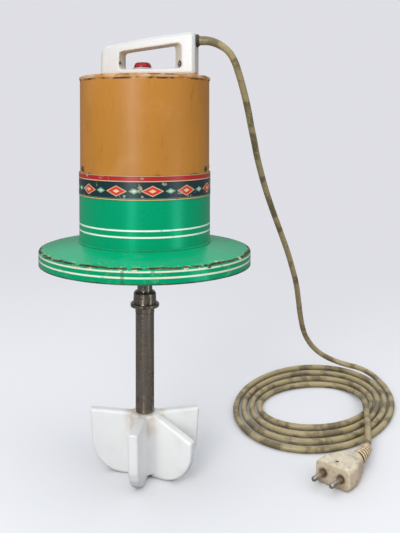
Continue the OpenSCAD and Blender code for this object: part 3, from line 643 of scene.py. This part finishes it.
def handle_moulding():
    """Glossy white moulding, yellower on its downward faces and ends, with painted shade along the
    bar's top edge and at its foot, and black scuffs beside the button.
    """
    f = Finish("handle_moulding")
    cloud = f.noise(38, 4)
    base = f.shade(chosen("moulding"), 0.95 + 0.08 * cloud)
    # Downward faces and the ends are tinted yellow in patches, chosen by which way each face
    # points.
    down = f.below(f.up(), -0.75, 0.1)
    ends = f.step(abs(f.facing(0)), 0.6, 0.85)
    facing_tint = (0.03 + 0.97 * down).over(0.7 * ends) * f.patches(0.3, 0.6, 30, 4, shift=(2, 4, 6))
    base = f.mix(facing_tint * 0.5, base, TINT_YELLOW)
    # A thin dark line along the top edge of the bar between the posts: painted shade of that edge.
    along = f.step(f.x, -24 * MM, -22 * MM) - f.step(f.x, 32 * MM, 34 * MM)
    line = f.stripe(f.z, TOP_HIGH.z + 7.5 * MM, 0.7 * MM) * along
    base = f.mix(line * f.patches(0.35, 0.5, 70, 3, shift=(3, 3, 0)) * 0.75, base, BAR_EDGE_SHADE)
    # Darker in patches at the handle's foot: painted shade where the handle meets the cover.
    foot = f.below(f.z, TOP_HIGH.z + 0.5 * MM, TOP_HIGH.z + 3.5 * MM)
    base = f.mix(foot * f.patches(0.45, 0.6, 90, 4) * 0.6, base, HANDLE_FOOT_SHADE)
    for place, size in SCUFFS:
        mark = f.near(Vector(place) * MM, size * 0.6 * MM, size * MM)
        base = f.mix(mark * f.patches(0.38, 0.46, 420, 3, roughness=0.7), base, SCUFF)
    f.feed("Base Color", base)
    f.feed("Roughness", 0.2 + 0.16 * cloud)
    f.bump(cloud, 0.15 * MM)
    f.coat(0.15, 0.1)
    return f.material


def impeller_moulding():
    """Satin white moulding, greyed by use and stained yellow round the rod."""
    f = Finish("impeller_moulding")
    cloud = f.noise(22, 4)
    base = f.shade(chosen("impeller"), 0.95 + 0.08 * cloud)
    near_rod = f.below(f.radius(), 11 * MM, 24 * MM)
    high = f.step(f.z, IMPELLER_HIGH.z - 30 * MM, IMPELLER_HIGH.z)
    base = f.mix(near_rod * high * f.patches(0.34, 0.62, 70, 4) * 0.6, base, ROD_STAIN)
    base = f.mix(f.patches(0.5, 0.75, 45, 5, shift=(6, 1, 3)) * 0.22, base, IMPELLER_GRIME)
    f.feed("Base Color", base)
    f.feed("Roughness", 0.36 + 0.16 * cloud)
    f.bump(0.6 * cloud + 0.2 * f.noise(240, 2), 0.2 * MM)
    return f.material


def button_plastic():
    """Clear red plastic of the push button."""
    f = Finish("button_plastic")
    cloud = f.noise(160, 2)
    f.feed("Base Color", f.shade(chosen("button"), 0.85 + 0.3 * cloud))
    f.feed("Roughness", 0.1 + 0.1 * cloud)
    f.bump(cloud, 0.05 * MM)
    f.coat(0.15, 0.06)
    return f.material


def worn_steel(name, colour, rusty, roughness):
    """Turned steel with fine rings round its axis and brown stains."""
    f = Finish(name)
    cloud = f.noise(40, 4)
    rings = f.noise(900, 2, stretch=(0.02, 0.02, 1))
    scores = f.noise(160, 4, stretch=(1, 1, 0.12))
    base = f.shade(colour, 0.1 + 0.5 * cloud + 0.2 * rings + 0.8 * scores)
    low = f.below(f.z, 110 * MM, 165 * MM)
    rust = f.step(f.noise(70, 6, roughness=0.75, stretch=(1, 1, 0.4)) + 0.09 * low,
                  0.56 - rusty, 0.66 - rusty)
    pits = f.specks(330, 0.36) * f.patches(0.46, 0.54, 45, 4, shift=(3, 3, 3))
    dull = rust.over(pits * 0.9)
    deep, brown = STEEL_RUST
    rust_colour = f.mix(f.patches(0.35, 0.65, 190, 4), deep,
                        f.mix(f.patches(0.45, 0.6, 30, 3), brown, chosen("rust")))
    f.feed("Base Color", f.mix(dull * 0.85, base, rust_colour))
    f.feed("Metallic", 0.95 - 0.75 * dull)
    f.feed("Roughness", roughness + 0.1 * rings + 0.25 * dull)
    f.bump(0.25 * rings + 0.5 * cloud - 0.5 * pits, 0.12 * MM)
    return f.material


def plain_metal(name, colour, roughness):
    """Metal of a piece that is mostly hidden, with light and dark patches."""
    f = Finish(name, metallic=0.9)
    cloud = f.noise(60, 4)
    f.feed("Base Color", f.shade(colour, 0.75 + 0.45 * cloud))
    f.feed("Roughness", roughness - 0.08 + 0.2 * cloud)
    f.bump(f.noise(400, 3), 0.1 * MM)
    return f.material


def lamination_steel():
    """Edges of the varnished sheets that the motor's cores are stacked from."""
    f = Finish("lamination_steel", metallic=0.8)
    edge = f.stripe((f.z / (0.5 * MM)).through("FRACT"), 0.5, 0.3)
    f.feed("Base Color", f.mix(edge * 0.7, f.shade(SHEET, 0.7 + 0.5 * f.noise(50, 3)), SHEET_EDGE))
    f.feed("Roughness", 0.45)
    f.bump(0 - edge, 0.1 * MM)
    return f.material


def copper_wire():
    """Varnished copper, wound in fine wire."""
    f = Finish("copper_wire", metallic=0.85)
    f.feed("Base Color", f.shade(COPPER, 0.7 + 0.4 * f.noise(70, 3)))
    f.feed("Roughness", 0.25 + 0.15 * f.noise(120, 2))
    f.bump((f.z * (2 * math.pi / (0.8 * MM))).through("SINE"), 0.12 * MM)
    return f.material


def dark_rubber(name, colour, roughness):
    """Matt black or brown rubber or plastic, dusty in its pores."""
    f = Finish(name)
    cloud = f.noise(90, 4)
    f.feed("Base Color", f.mix(f.step(cloud, 0.5, 0.75) * 0.3, colour, DUST))
    f.feed("Roughness", roughness - 0.1 + 0.2 * cloud)
    f.bump(f.noise(500, 3), 0.1 * MM)
    return f.material


def cord_rubber(name="cord_rubber"):
    """Khaki sheath, darkened in patches by handling."""
    f = Finish(name)
    cloud = f.noise(24, 5, roughness=0.6)
    fine = f.noise(260, 3)
    base = f.shade(chosen("cord"), 0.75 + 0.35 * cloud + 0.2 * fine)
    grime_and_shade = f.patches(0.46, 0.6, 48, 5, roughness=0.65, shift=(4, 4, 0))
    base = f.mix(grime_and_shade * 0.7, base, CORD_GRIME)
    rub = f.patches(0.58, 0.74, 65, 5, roughness=0.7, shift=(0, 8, 2))
    f.feed("Base Color", f.mix(rub * 0.4, base, CORD_RUBBED))
    f.feed("Roughness", 0.26 + 0.2 * cloud)
    f.bump(0.5 * fine + 0.6 * cloud, 0.15 * MM)
    return f.material


def plug_plastic(name, ribbed):
    """Beige plastic of the plug, grimy in patches and with pale scratches, with painted light on
    its top and painted shade low down, in its hole and in the boot's grooves.
    """
    f = Finish(name)
    cloud = f.noise(55, 5)
    base = f.shade(chosen("plug"), 0.86 + 0.25 * cloud)
    if ribbed:
        base = f.mix(0.5, base, BOOT_PALE)
    else:
        # Faces turned up are painted paler: painted light on the plug's top.
        base = f.mix(0.4 * f.step(f.up(), 0.3, 0.9), base, PLUG_TOP_LIGHT)
    grime_and_shade = f.patches(0.48, 0.7, 90, 6, roughness=0.7, shift=(2, 0, 4))
    base = f.mix(grime_and_shade * 0.6, base, PLUG_GRIME)
    fine = f.patches(0.53, 0.64, 260, 5, roughness=0.75, shift=(6, 0, 0))
    base = f.mix(fine * 0.5, base, PLUG_SPECKS)
    # The lowest few millimetres are darker: painted shade near the floor.
    base = f.mix(f.below(f.z, 0.5 * MM, 7 * MM) * 0.4, base, PLUG_LOW_SHADE)
    scratch = f.patches(0.6, 0.68, 150, 5, stretch=(1, 0.35, 1), shift=(0, 0, 6))
    base = f.mix(scratch * 0.7, base, PLUG_SCRATCH)
    # A dark dot with a dent in the bump for a hole in the plug's top: painted shade of the hole.
    hole = f.near(PLUG_HOLE_PLACE, 1.5 * MM, 2.3 * MM)
    base = f.mix(hole * 0.9, base, PLUG_HOLE_SHADE)
    for side in (-1, 1):
        socket = PLUG_FACE + side * PIN_OFFSET * PLUG_ASIDE
        base = f.mix(f.near(socket, 3.4 * MM, 6.5 * MM) * 0.8, base, SOCKET_BROWN)
    if ribbed:
        # The deeper a point lies between the ribs, the darker: painted shade in the boot's
        # grooves.
        groove = f.node("ShaderNodeAttribute", {"attribute_name": "groove"}, output="Fac")
        base = f.mix(f.step(groove, 0.05, 0.45) * 0.95, base, GROOVE_SHADE)
    f.feed("Base Color", base)
    f.feed("Roughness", 0.42 + 0.18 * cloud)
    f.bump(0.6 * cloud - 0.6 * grime_and_shade - 1.5 * hole + 0.3 * f.noise(300, 3), 0.3 * MM)
    return f.material


def pin_metal():
    """Nickelled plug pins, browned where they leave the plug."""
    f = Finish("pin_nickel")
    away = f.node("ShaderNodeVectorMath", {"operation": "DOT_PRODUCT"}, {
        0: f.place, 1: tuple(-PLUG_ALONG)}, "Value") + PLUG_FACE.dot(PLUG_ALONG)
    brown = f.below(away + 6 * MM * (f.noise(240, 3) - 0.5), 4 * MM, 10 * MM)
    stain = brown.over(f.patches(0.5, 0.6, 330, 4, roughness=0.7) * 0.7)
    base = f.shade(NICKEL, 0.5 + 0.7 * f.noise(150, 3))
    f.feed("Base Color", f.mix(stain * 0.85, base, PIN_BROWN))
    f.feed("Metallic", 1 - 0.4 * stain)
    f.feed("Roughness", 0.1 + 0.35 * stain)
    f.bump(0 - stain, 0.06 * MM)
    return f.material


# Modelling helpers


def deselect():
    if bpy.context.object and bpy.context.object.mode != "OBJECT":
        bpy.ops.object.mode_set(mode="OBJECT")
    bpy.ops.object.select_all(action="DESELECT")


def name_new(name):
    """Names the object that was just added, and its data."""
    piece = bpy.context.object
    piece.name = name
    piece.data.name = name
    return piece


def select(piece):
    """Makes the piece the only selected object, and the active one."""
    deselect()
    piece.select_set(True)
    bpy.context.view_layer.objects.active = piece


def modify(piece, kind, **settings):
    """Adds a modifier to the piece and applies it."""
    modifier = piece.modifiers.new(kind.title(), kind)
    for name, value in settings.items():
        setattr(modifier, name, value)
    bpy.context.view_layer.objects.active = piece
    bpy.ops.object.modifier_apply(modifier=modifier.name)


def paint(piece, material):
    piece.data.materials.clear()
    piece.data.materials.append(material)


def finish_piece(piece, body, slot, material, *nodes):
    """Gives a new piece its material and body, and hides the nodes that it stands for. The slot is
    not used.
    """
    paint(piece, material)
    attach(piece, body)
    if nodes:
        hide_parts(*nodes)


def moulded_copy(name, node, grain, rounds):
    """A merged copy of a solid, remeshed and smoothed so that its edges are a moulding's."""
    select(frame["nodes"][node])
    bpy.ops.object.duplicate()
    piece = name_new(name)
    bpy.ops.object.parent_clear(type="CLEAR_KEEP_TRANSFORM")
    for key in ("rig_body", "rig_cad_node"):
        del piece[key]
    bpy.ops.object.mode_set(mode="EDIT")
    bpy.ops.mesh.select_all(action="SELECT")
    bpy.ops.mesh.remove_doubles(threshold=0.01 * MM)
    bpy.ops.object.mode_set(mode="OBJECT")
    modify(piece, "REMESH", mode="VOXEL", voxel_size=grain)
    modify(piece, "SMOOTH", factor=0.5, iterations=rounds)
    bpy.ops.object.shade_smooth()
    return piece


def rolled_ring(name, radius, thickness, height, tall, wave, depth):
    """A hand-rolled ring round the churn's axis: tall times as high as thick, and wavy."""
    deselect()
    bpy.ops.mesh.primitive_torus_add(
        major_segments=256, minor_segments=16, major_radius=radius, minor_radius=thickness)
    piece = name_new(name)
    bpy.ops.object.mode_set(mode="EDIT")
    bpy.ops.mesh.select_all(action="SELECT")
    bpy.ops.transform.resize(value=(1, 1, tall))
    bpy.ops.transform.translate(value=(0, 0, height))
    bpy.ops.object.mode_set(mode="OBJECT")
    waves = bpy.data.textures.new(name + "_waves", "CLOUDS")
    waves.noise_scale = wave
    modify(piece, "DISPLACE", texture=waves, texture_coords="LOCAL", strength=depth)
    bpy.ops.object.shade_smooth()
    return piece


def turned_piece(name, profile, place):
    """A solid of revolution built up ring by ring from (radius, height) pairs."""
    deselect()
    radius, height = profile[0]
    bpy.ops.mesh.primitive_circle_add(
        vertices=64, radius=radius, location=(0, 0, height), fill_type="NGON")
    piece = name_new(name)
    bpy.ops.object.transform_apply(location=True, rotation=True, scale=True)
    bpy.ops.object.mode_set(mode="EDIT")
    bpy.ops.mesh.select_all(action="SELECT")
    for next_radius, next_height in profile[1:]:
        bpy.ops.mesh.extrude_region_move(
            TRANSFORM_OT_translate={"value": (0, 0, next_height - height)})
        ratio = next_radius / radius
        bpy.ops.transform.resize(value=(ratio, ratio, 1))
        radius, height = next_radius, next_height
    bpy.ops.mesh.select_all(action="SELECT")
    bpy.ops.transform.translate(value=(place[0], place[1], 0))
    bpy.ops.mesh.normals_make_consistent(inside=False)
    bpy.ops.object.mode_set(mode="OBJECT")
    bpy.ops.object.shade_smooth_by_angle(angle=math.radians(40))
    return piece


def run_of_cord(name, points, radius, sides):
    """A round curve through the points."""
    deselect()
    bpy.ops.curve.primitive_bezier_curve_add()
    piece = name_new(name)
    line = piece.data.splines[0]
    line.bezier_points.add(len(points) - len(line.bezier_points))
    for knot, place in zip(line.bezier_points, points):
        knot.co = place
        knot.radius = 1
        knot.handle_left_type = knot.handle_right_type = "AUTO"
    piece.data.resolution_u = 6
    piece.data.bevel_depth = radius
    piece.data.bevel_resolution = sides
    piece.data.use_fill_caps = True
    return piece


# Operators


class CHURN_OT_camera(bpy.types.Operator):
    """Set up the camera at the photograph's viewpoint"""

    bl_idname = "churn.camera"
    bl_label = "Camera"

    def execute(self, context):
        deselect()
        look = studio()
        bpy.ops.object.camera_add(
            location=look.camera, rotation=(math.pi / 2 - look.pitch, 0, 0))
        camera = name_new("camera")
        camera.data.lens = look.lens
        camera.data.shift_x, camera.data.shift_y = CAMERA_SHIFT
        context.scene.camera = camera
        context.scene.view_settings.view_transform = "Standard"
        return {"FINISHED"}


class CHURN_OT_cord(bpy.types.Operator):
    """Lay the mains cord from the handle to the plug, with its sleeve at the handle"""

    bl_idname = "churn.cord"
    bl_label = "Mains cord"

    def execute(self, context):
        points = cord_points()
        cord = run_of_cord("cord_run", points, CORD_R * MM, sizes().cord_sides)
        finish_piece(cord, HOUSING, "cord_sheath", cord_rubber(),
                     "mains_cord", "cord_coil", "plug_lead")
        sleeve = self.sleeve(points)
        finish_piece(sleeve, HOUSING, "cord_sheath", cord_rubber("sleeve_rubber"))
        return {"FINISHED"}

    def sleeve(self, points):
        """The tapered sleeve round the cord's first stretch."""
        size = sizes()
        back = (points[0] - points[1]).normalized() * MM
        stretch = [points[0] + back, *points[:4]]
        sleeve = run_of_cord("cord_sleeve", stretch, size.sleeve_radius, size.cord_sides)
        run = 0
        thin = (CORD_R + SLEEVE_WALL) * MM / size.sleeve_radius
        knots = sleeve.data.splines[0].bezier_points
        for before, knot in zip(knots, knots[1:]):
            run += (knot.co - before.co).length
            knot.radius = 1 - (1 - thin) * min(1, run / size.sleeve_length)
        select(sleeve)
        bpy.ops.object.convert(target="MESH")
        bpy.ops.object.shade_smooth()
        return bpy.context.object


class CHURN_OT_plug(bpy.types.Operator):
    bl_idname = "churn.plug"
    bl_label = "Plug"

    def execute(self, context):
        body = moulded_copy("plug_shell", "plug_body", sizes().plug_grain, rounds=4)
        finish_piece(body, HOUSING, "plug_plastic", plug_plastic("plug_beige", False), "plug_body")
        boot = moulded_copy("plug_strain_relief", "plug_boot", sizes().boot_grain, rounds=2)
        self.mark_grooves(boot)
        finish_piece(boot, HOUSING, "plug_plastic", plug_plastic("boot_beige", True), "plug_boot")
        return {"FINISHED"}

    def mark_grooves(self, boot):
        """Stores on each vertex how deep it lies between the boot's ribs, from 0 to 1."""
        marks = boot.data.attributes.new("groove", "FLOAT", "POINT")
        start, heading = BOOT_TAIL.copy(), PLUG_HEADING
        ribs = []
        for number in range(BOOT_RIBS):
            ahead = Vector((math.cos(heading), math.sin(heading), 0))
            ribs.append((start.copy(), ahead, BOOT_R - BOOT_TAPER * number))
            start += BOOT_PITCH * ahead
            heading += BOOT_TURN
        for vertex, mark in zip(boot.data.vertices, marks.data):
            near, ahead, radius = min(
                ribs, key=lambda rib: abs((vertex.co - rib[0]).dot(rib[1]) - BOOT_PITCH / 2))
            off = vertex.co - near
            aside = off.dot(Vector((-ahead.y, ahead.x, 0)))
            away = math.hypot(aside, off.z)
            on_web = off.z > 0 and abs(aside) < BOOT_WEB
            deep = (radius - GROOVE_START - away) / GROOVE_DEPTH
            mark.value = 0 if on_web else min(1, max(0, deep))


class CHURN_OT_handle(bpy.types.Operator):
    """Mould the carrying handle"""

    bl_idname = "churn.handle"
    bl_label = "Handle"

    def execute(self, context):
        piece = moulded_copy("handle_shell", "handle", sizes().handle_grain, rounds=8)
        finish_piece(piece, HOUSING, "white_moulding", handle_moulding(), "handle")
        return {"FINISHED"}


class CHURN_OT_button(bpy.types.Operator):
    """Turn the push button with its stem"""

    bl_idname = "churn.button"
    bl_label = "Push button"

    def execute(self, context):
        profile = [
            (STEM_R, BUTTON_LOW.z), (STEM_R, STOP_LOW), (STOP_R, STOP_LOW), (STOP_R, STOP_HIGH),
            (STEM_R, STOP_HIGH), (STEM_R, CAP_LOW), (CAP_R - 1.6 * MM, CAP_LOW),
            (CAP_R, CAP_LOW + 1.4 * MM), (CAP_R, CAP_LOW + 1.7 * MM),
            (CAP_R - 0.2 * MM, CAP_LOW + 2.3 * MM)]
        for degrees in range(15, 91, 15):
            angle = math.radians(degrees)
            profile.append((
                (5 + 3 * math.cos(angle)) * MM, CAP_LOW + (3.4 + 2.6 * math.sin(angle)) * MM))
        profile.append((0.5 * MM, BUTTON_HIGH.z))
        piece = turned_piece("button_cap", profile, BUTTON_MID)
        finish_piece(piece, BUTTON, "red_plastic", button_plastic(), "push_button")
        return {"FINISHED"}


class CHURN_OT_impeller(bpy.types.Operator):
    """Mould the bladed impeller"""

    bl_idname = "churn.impeller"
    bl_label = "Impeller"

    def execute(self, context):
        piece = moulded_copy(
            "impeller_shell", "impeller", sizes().impeller_grain, rounds=6)
        finish_piece(piece, SPINDLE, "impeller_plastic", impeller_moulding(), "impeller")
        return {"FINISHED"}


class CHURN_OT_seams(bpy.types.Operator):
    """Roll the seam at the top of the motor cover and the bead at the drum's foot"""

    bl_idname = "churn.seams"
    bl_label = "Seam and bead"

    def execute(self, context):
        size = sizes()
        seam = rolled_ring(
            "cover_seam", COVER_R - 0.3 * MM, size.seam_radius, TOP_HIGH.z - 2.9 * MM,
            tall=1.9, wave=9 * MM, depth=1.1 * MM)
        finish_piece(seam, HOUSING, "tan_paint", bpy.data.materials["tan_enamel"])
        bead = rolled_ring(
            "drum_bead", DRUM_R + 0.1 * MM, size.bead_radius, DRUM_LOW.z + 0.4 * MM,
            tall=0.8, wave=14 * MM, depth=0.5 * MM)
        finish_piece(bead, HOUSING, "green_paint", bpy.data.materials["drum_enamel"])
        return {"FINISHED"}


class CHURN_OT_finishes(bpy.types.Operator):
    """Give every solid that stays its finish"""

    bl_idname = "churn.finishes"
    bl_label = "Finishes"

    def execute(self, context):
        steel = chosen("steel")
        finishes = {
            tan_enamel(): ["cover_wall", "cover_top"],
            drum_enamel(): ["lower_drum"],
            lid_enamel(): ["lid_brim", "lid_skirt", "seal_collar"],
            printed_band(): ["trim_band"],
            worn_steel("rod_steel", steel, rusty=0.0, roughness=0.1): [
                "churn_rod", "motor_shaft"],
            worn_steel("coupling_steel", steel, rusty=0.02, roughness=0.12): [
                "drive_coupling"],
            plain_metal("dark_screws", (0.1, 0.085, 0.07), 0.5): [
                "cover_screws", "grub_screw", "impeller_nut"],
            plain_metal("bright_steel", (0.55, 0.55, 0.54), 0.3): [
                "joining_ring", "handle_screws", "motor_bolts", "lower_bearing",
                "upper_bearing", "capacitor_clamp"],
            plain_metal("cast_alloy", (0.5, 0.51, 0.52), 0.45): [
                "lower_end_shield", "upper_end_shield", "rotor_cage", "capacitor"],
            lamination_steel(): ["stator_core", "rotor_core"],
            copper_wire(): ["stator_windings"],
            pin_metal(): ["plug_pins"],
            dark_rubber("black_seal", (0.02, 0.02, 0.02), 0.6): [
                "shaft_seal", "switch_body", "cooling_fan"],
            dark_rubber("gland_rubber", (0.03, 0.021, 0.013), 0.55): ["cord_gland"],
        }
        for material, nodes in finishes.items():
            for node in nodes:
                paint(frame["nodes"][node], material)
        return {"FINISHED"}


class CHURN_OT_stage(bpy.types.Operator):
    """Light the churn in a plain pale studio"""

    bl_idname = "churn.stage"
    bl_label = "Stage"

    def execute(self, context):
        self.floor()
        self.world(context)
        for name, (place, width) in LAMPS.items():
            self.lamp(name + "_lamp", place, width, getattr(studio(), name))
        strip = bpy.data.objects["strip_lamp"].data
        strip.shape, strip.size_y = "RECTANGLE", STRIP_HEIGHT
        return {"FINISHED"}

    def lamp(self, name, place, width, power):
        """A round lamp that looks at the churn."""
        deselect()
        aim = Vector((LAMP_AIM_X, 0, min(place[2], LAMP_AIM_HIGH))) - Vector(place)
        bpy.ops.object.light_add(
            type="AREA", location=place, rotation=aim.to_track_quat("-Z", "Y").to_euler())
        lamp = name_new(name).data
        lamp.shape, lamp.size, lamp.energy = "DISK", width, power

    def floor(self):
        """A wide floor that fades into the backdrop's colour away from the churn."""
        deselect()
        bpy.ops.mesh.primitive_circle_add(vertices=96, radius=FLOOR_R, fill_type="NGON")
        floor = name_new("floor")
        bpy.ops.object.mode_set(mode="EDIT")
        bpy.ops.mesh.select_all(action="SELECT")
        bpy.ops.mesh.inset(thickness=FLOOR_R - FLOOR_MIDDLE_R)
        bpy.ops.object.mode_set(mode="OBJECT")
        f = Finish("floor_paper")
        f.feed("Roughness", 0.85)
        seen = f.node("ShaderNodeLightPath", output="Is Camera Ray")
        f.feed("Base Color", f.shade(tuple(studio().floor), 0.3 + 0.7 * seen))
        glow = f.node("ShaderNodeEmission", inputs={"Color": tuple(studio().backdrop)})
        far = f.step(f.radius(), *FLOOR_FADES) * seen
        f.show(f.node("ShaderNodeMixShader", inputs={
            0: far, 1: Field(f, f.shader.outputs[0]), 2: glow}))
        paint(floor, f.material)

    def world(self, context):
        """Soft light from above, and the backdrop's colour where the camera looks."""
        world = bpy.data.worlds.new("studio")
        context.scene.world = world
        world.use_nodes = True
        n = Nodes(world.node_tree, "ShaderNodeOutputWorld")
        way = n.node("ShaderNodeTexCoord", output="Generated")
        strength = n.node("ShaderNodeMapRange", inputs={
            "Value": n.node("ShaderNodeSeparateXYZ", inputs={0: way}, output="Z"),
            "From Min": SKY_FADES[0], "From Max": SKY_FADES[1],
            "To Min": SKY_LOWEST * studio().world, "To Max": studio().world})
        soft = n.node("ShaderNodeBackground", inputs={"Color": SKY, "Strength": strength})
        backdrop = n.node("ShaderNodeBackground", inputs={"Color": studio().backdrop})
        camera, glossy, clear = (
            n.node("ShaderNodeLightPath", output=f"Is {kind} Ray")
            for kind in ("Camera", "Glossy", "Transmission"))
        seen = camera.over(glossy * studio().mirrored + clear)
        n.show(n.node("ShaderNodeMixShader", inputs={0: seen, 1: soft, 2: backdrop}))


OPERATORS = (
    CHURN_OT_camera, CHURN_OT_cord, CHURN_OT_plug, CHURN_OT_finishes, CHURN_OT_handle,
    CHURN_OT_button, CHURN_OT_impeller, CHURN_OT_seams, CHURN_OT_stage)


class CHURN_PT_panel(bpy.types.Panel):
    """Lists the churn's operators and settings"""

    bl_idname = "CHURN_PT_panel"
    bl_label = "Butter churn"
    bl_space_type = "VIEW_3D"
    bl_region_type = "UI"
    bl_category = "Churn"

    def draw(self, context):
        for operator in OPERATORS:
            self.layout.operator(operator.bl_idname)
        for group in (colours(), sizes(), studio()):
            box = self.layout.box()
            for name in group.bl_rna.properties.keys():
                if name not in ("rna_type", "name"):
                    box.prop(group, name)


GROUPS = {
    "churn_colours": ChurnColours, "churn_sizes": ChurnSizes, "churn_studio": ChurnStudio}


def register():
    for group in GROUPS.values():
        bpy.utils.register_class(group)
    for name, group in GROUPS.items():
        setattr(bpy.types.Scene, name, PointerProperty(type=group))
    for operator in OPERATORS:
        bpy.utils.register_class(operator)
    bpy.utils.register_class(CHURN_PT_panel)


def unregister():
    bpy.utils.unregister_class(CHURN_PT_panel)
    for operator in OPERATORS:
        bpy.utils.unregister_class(operator)
    for name, group in GROUPS.items():
        delattr(bpy.types.Scene, name)
        bpy.utils.unregister_class(group)


def main():
    register()
    for operator in OPERATORS:
        family, name = operator.bl_idname.split(".")
        getattr(getattr(bpy.ops, family), name)()


if __name__ == "__main__":
    main()
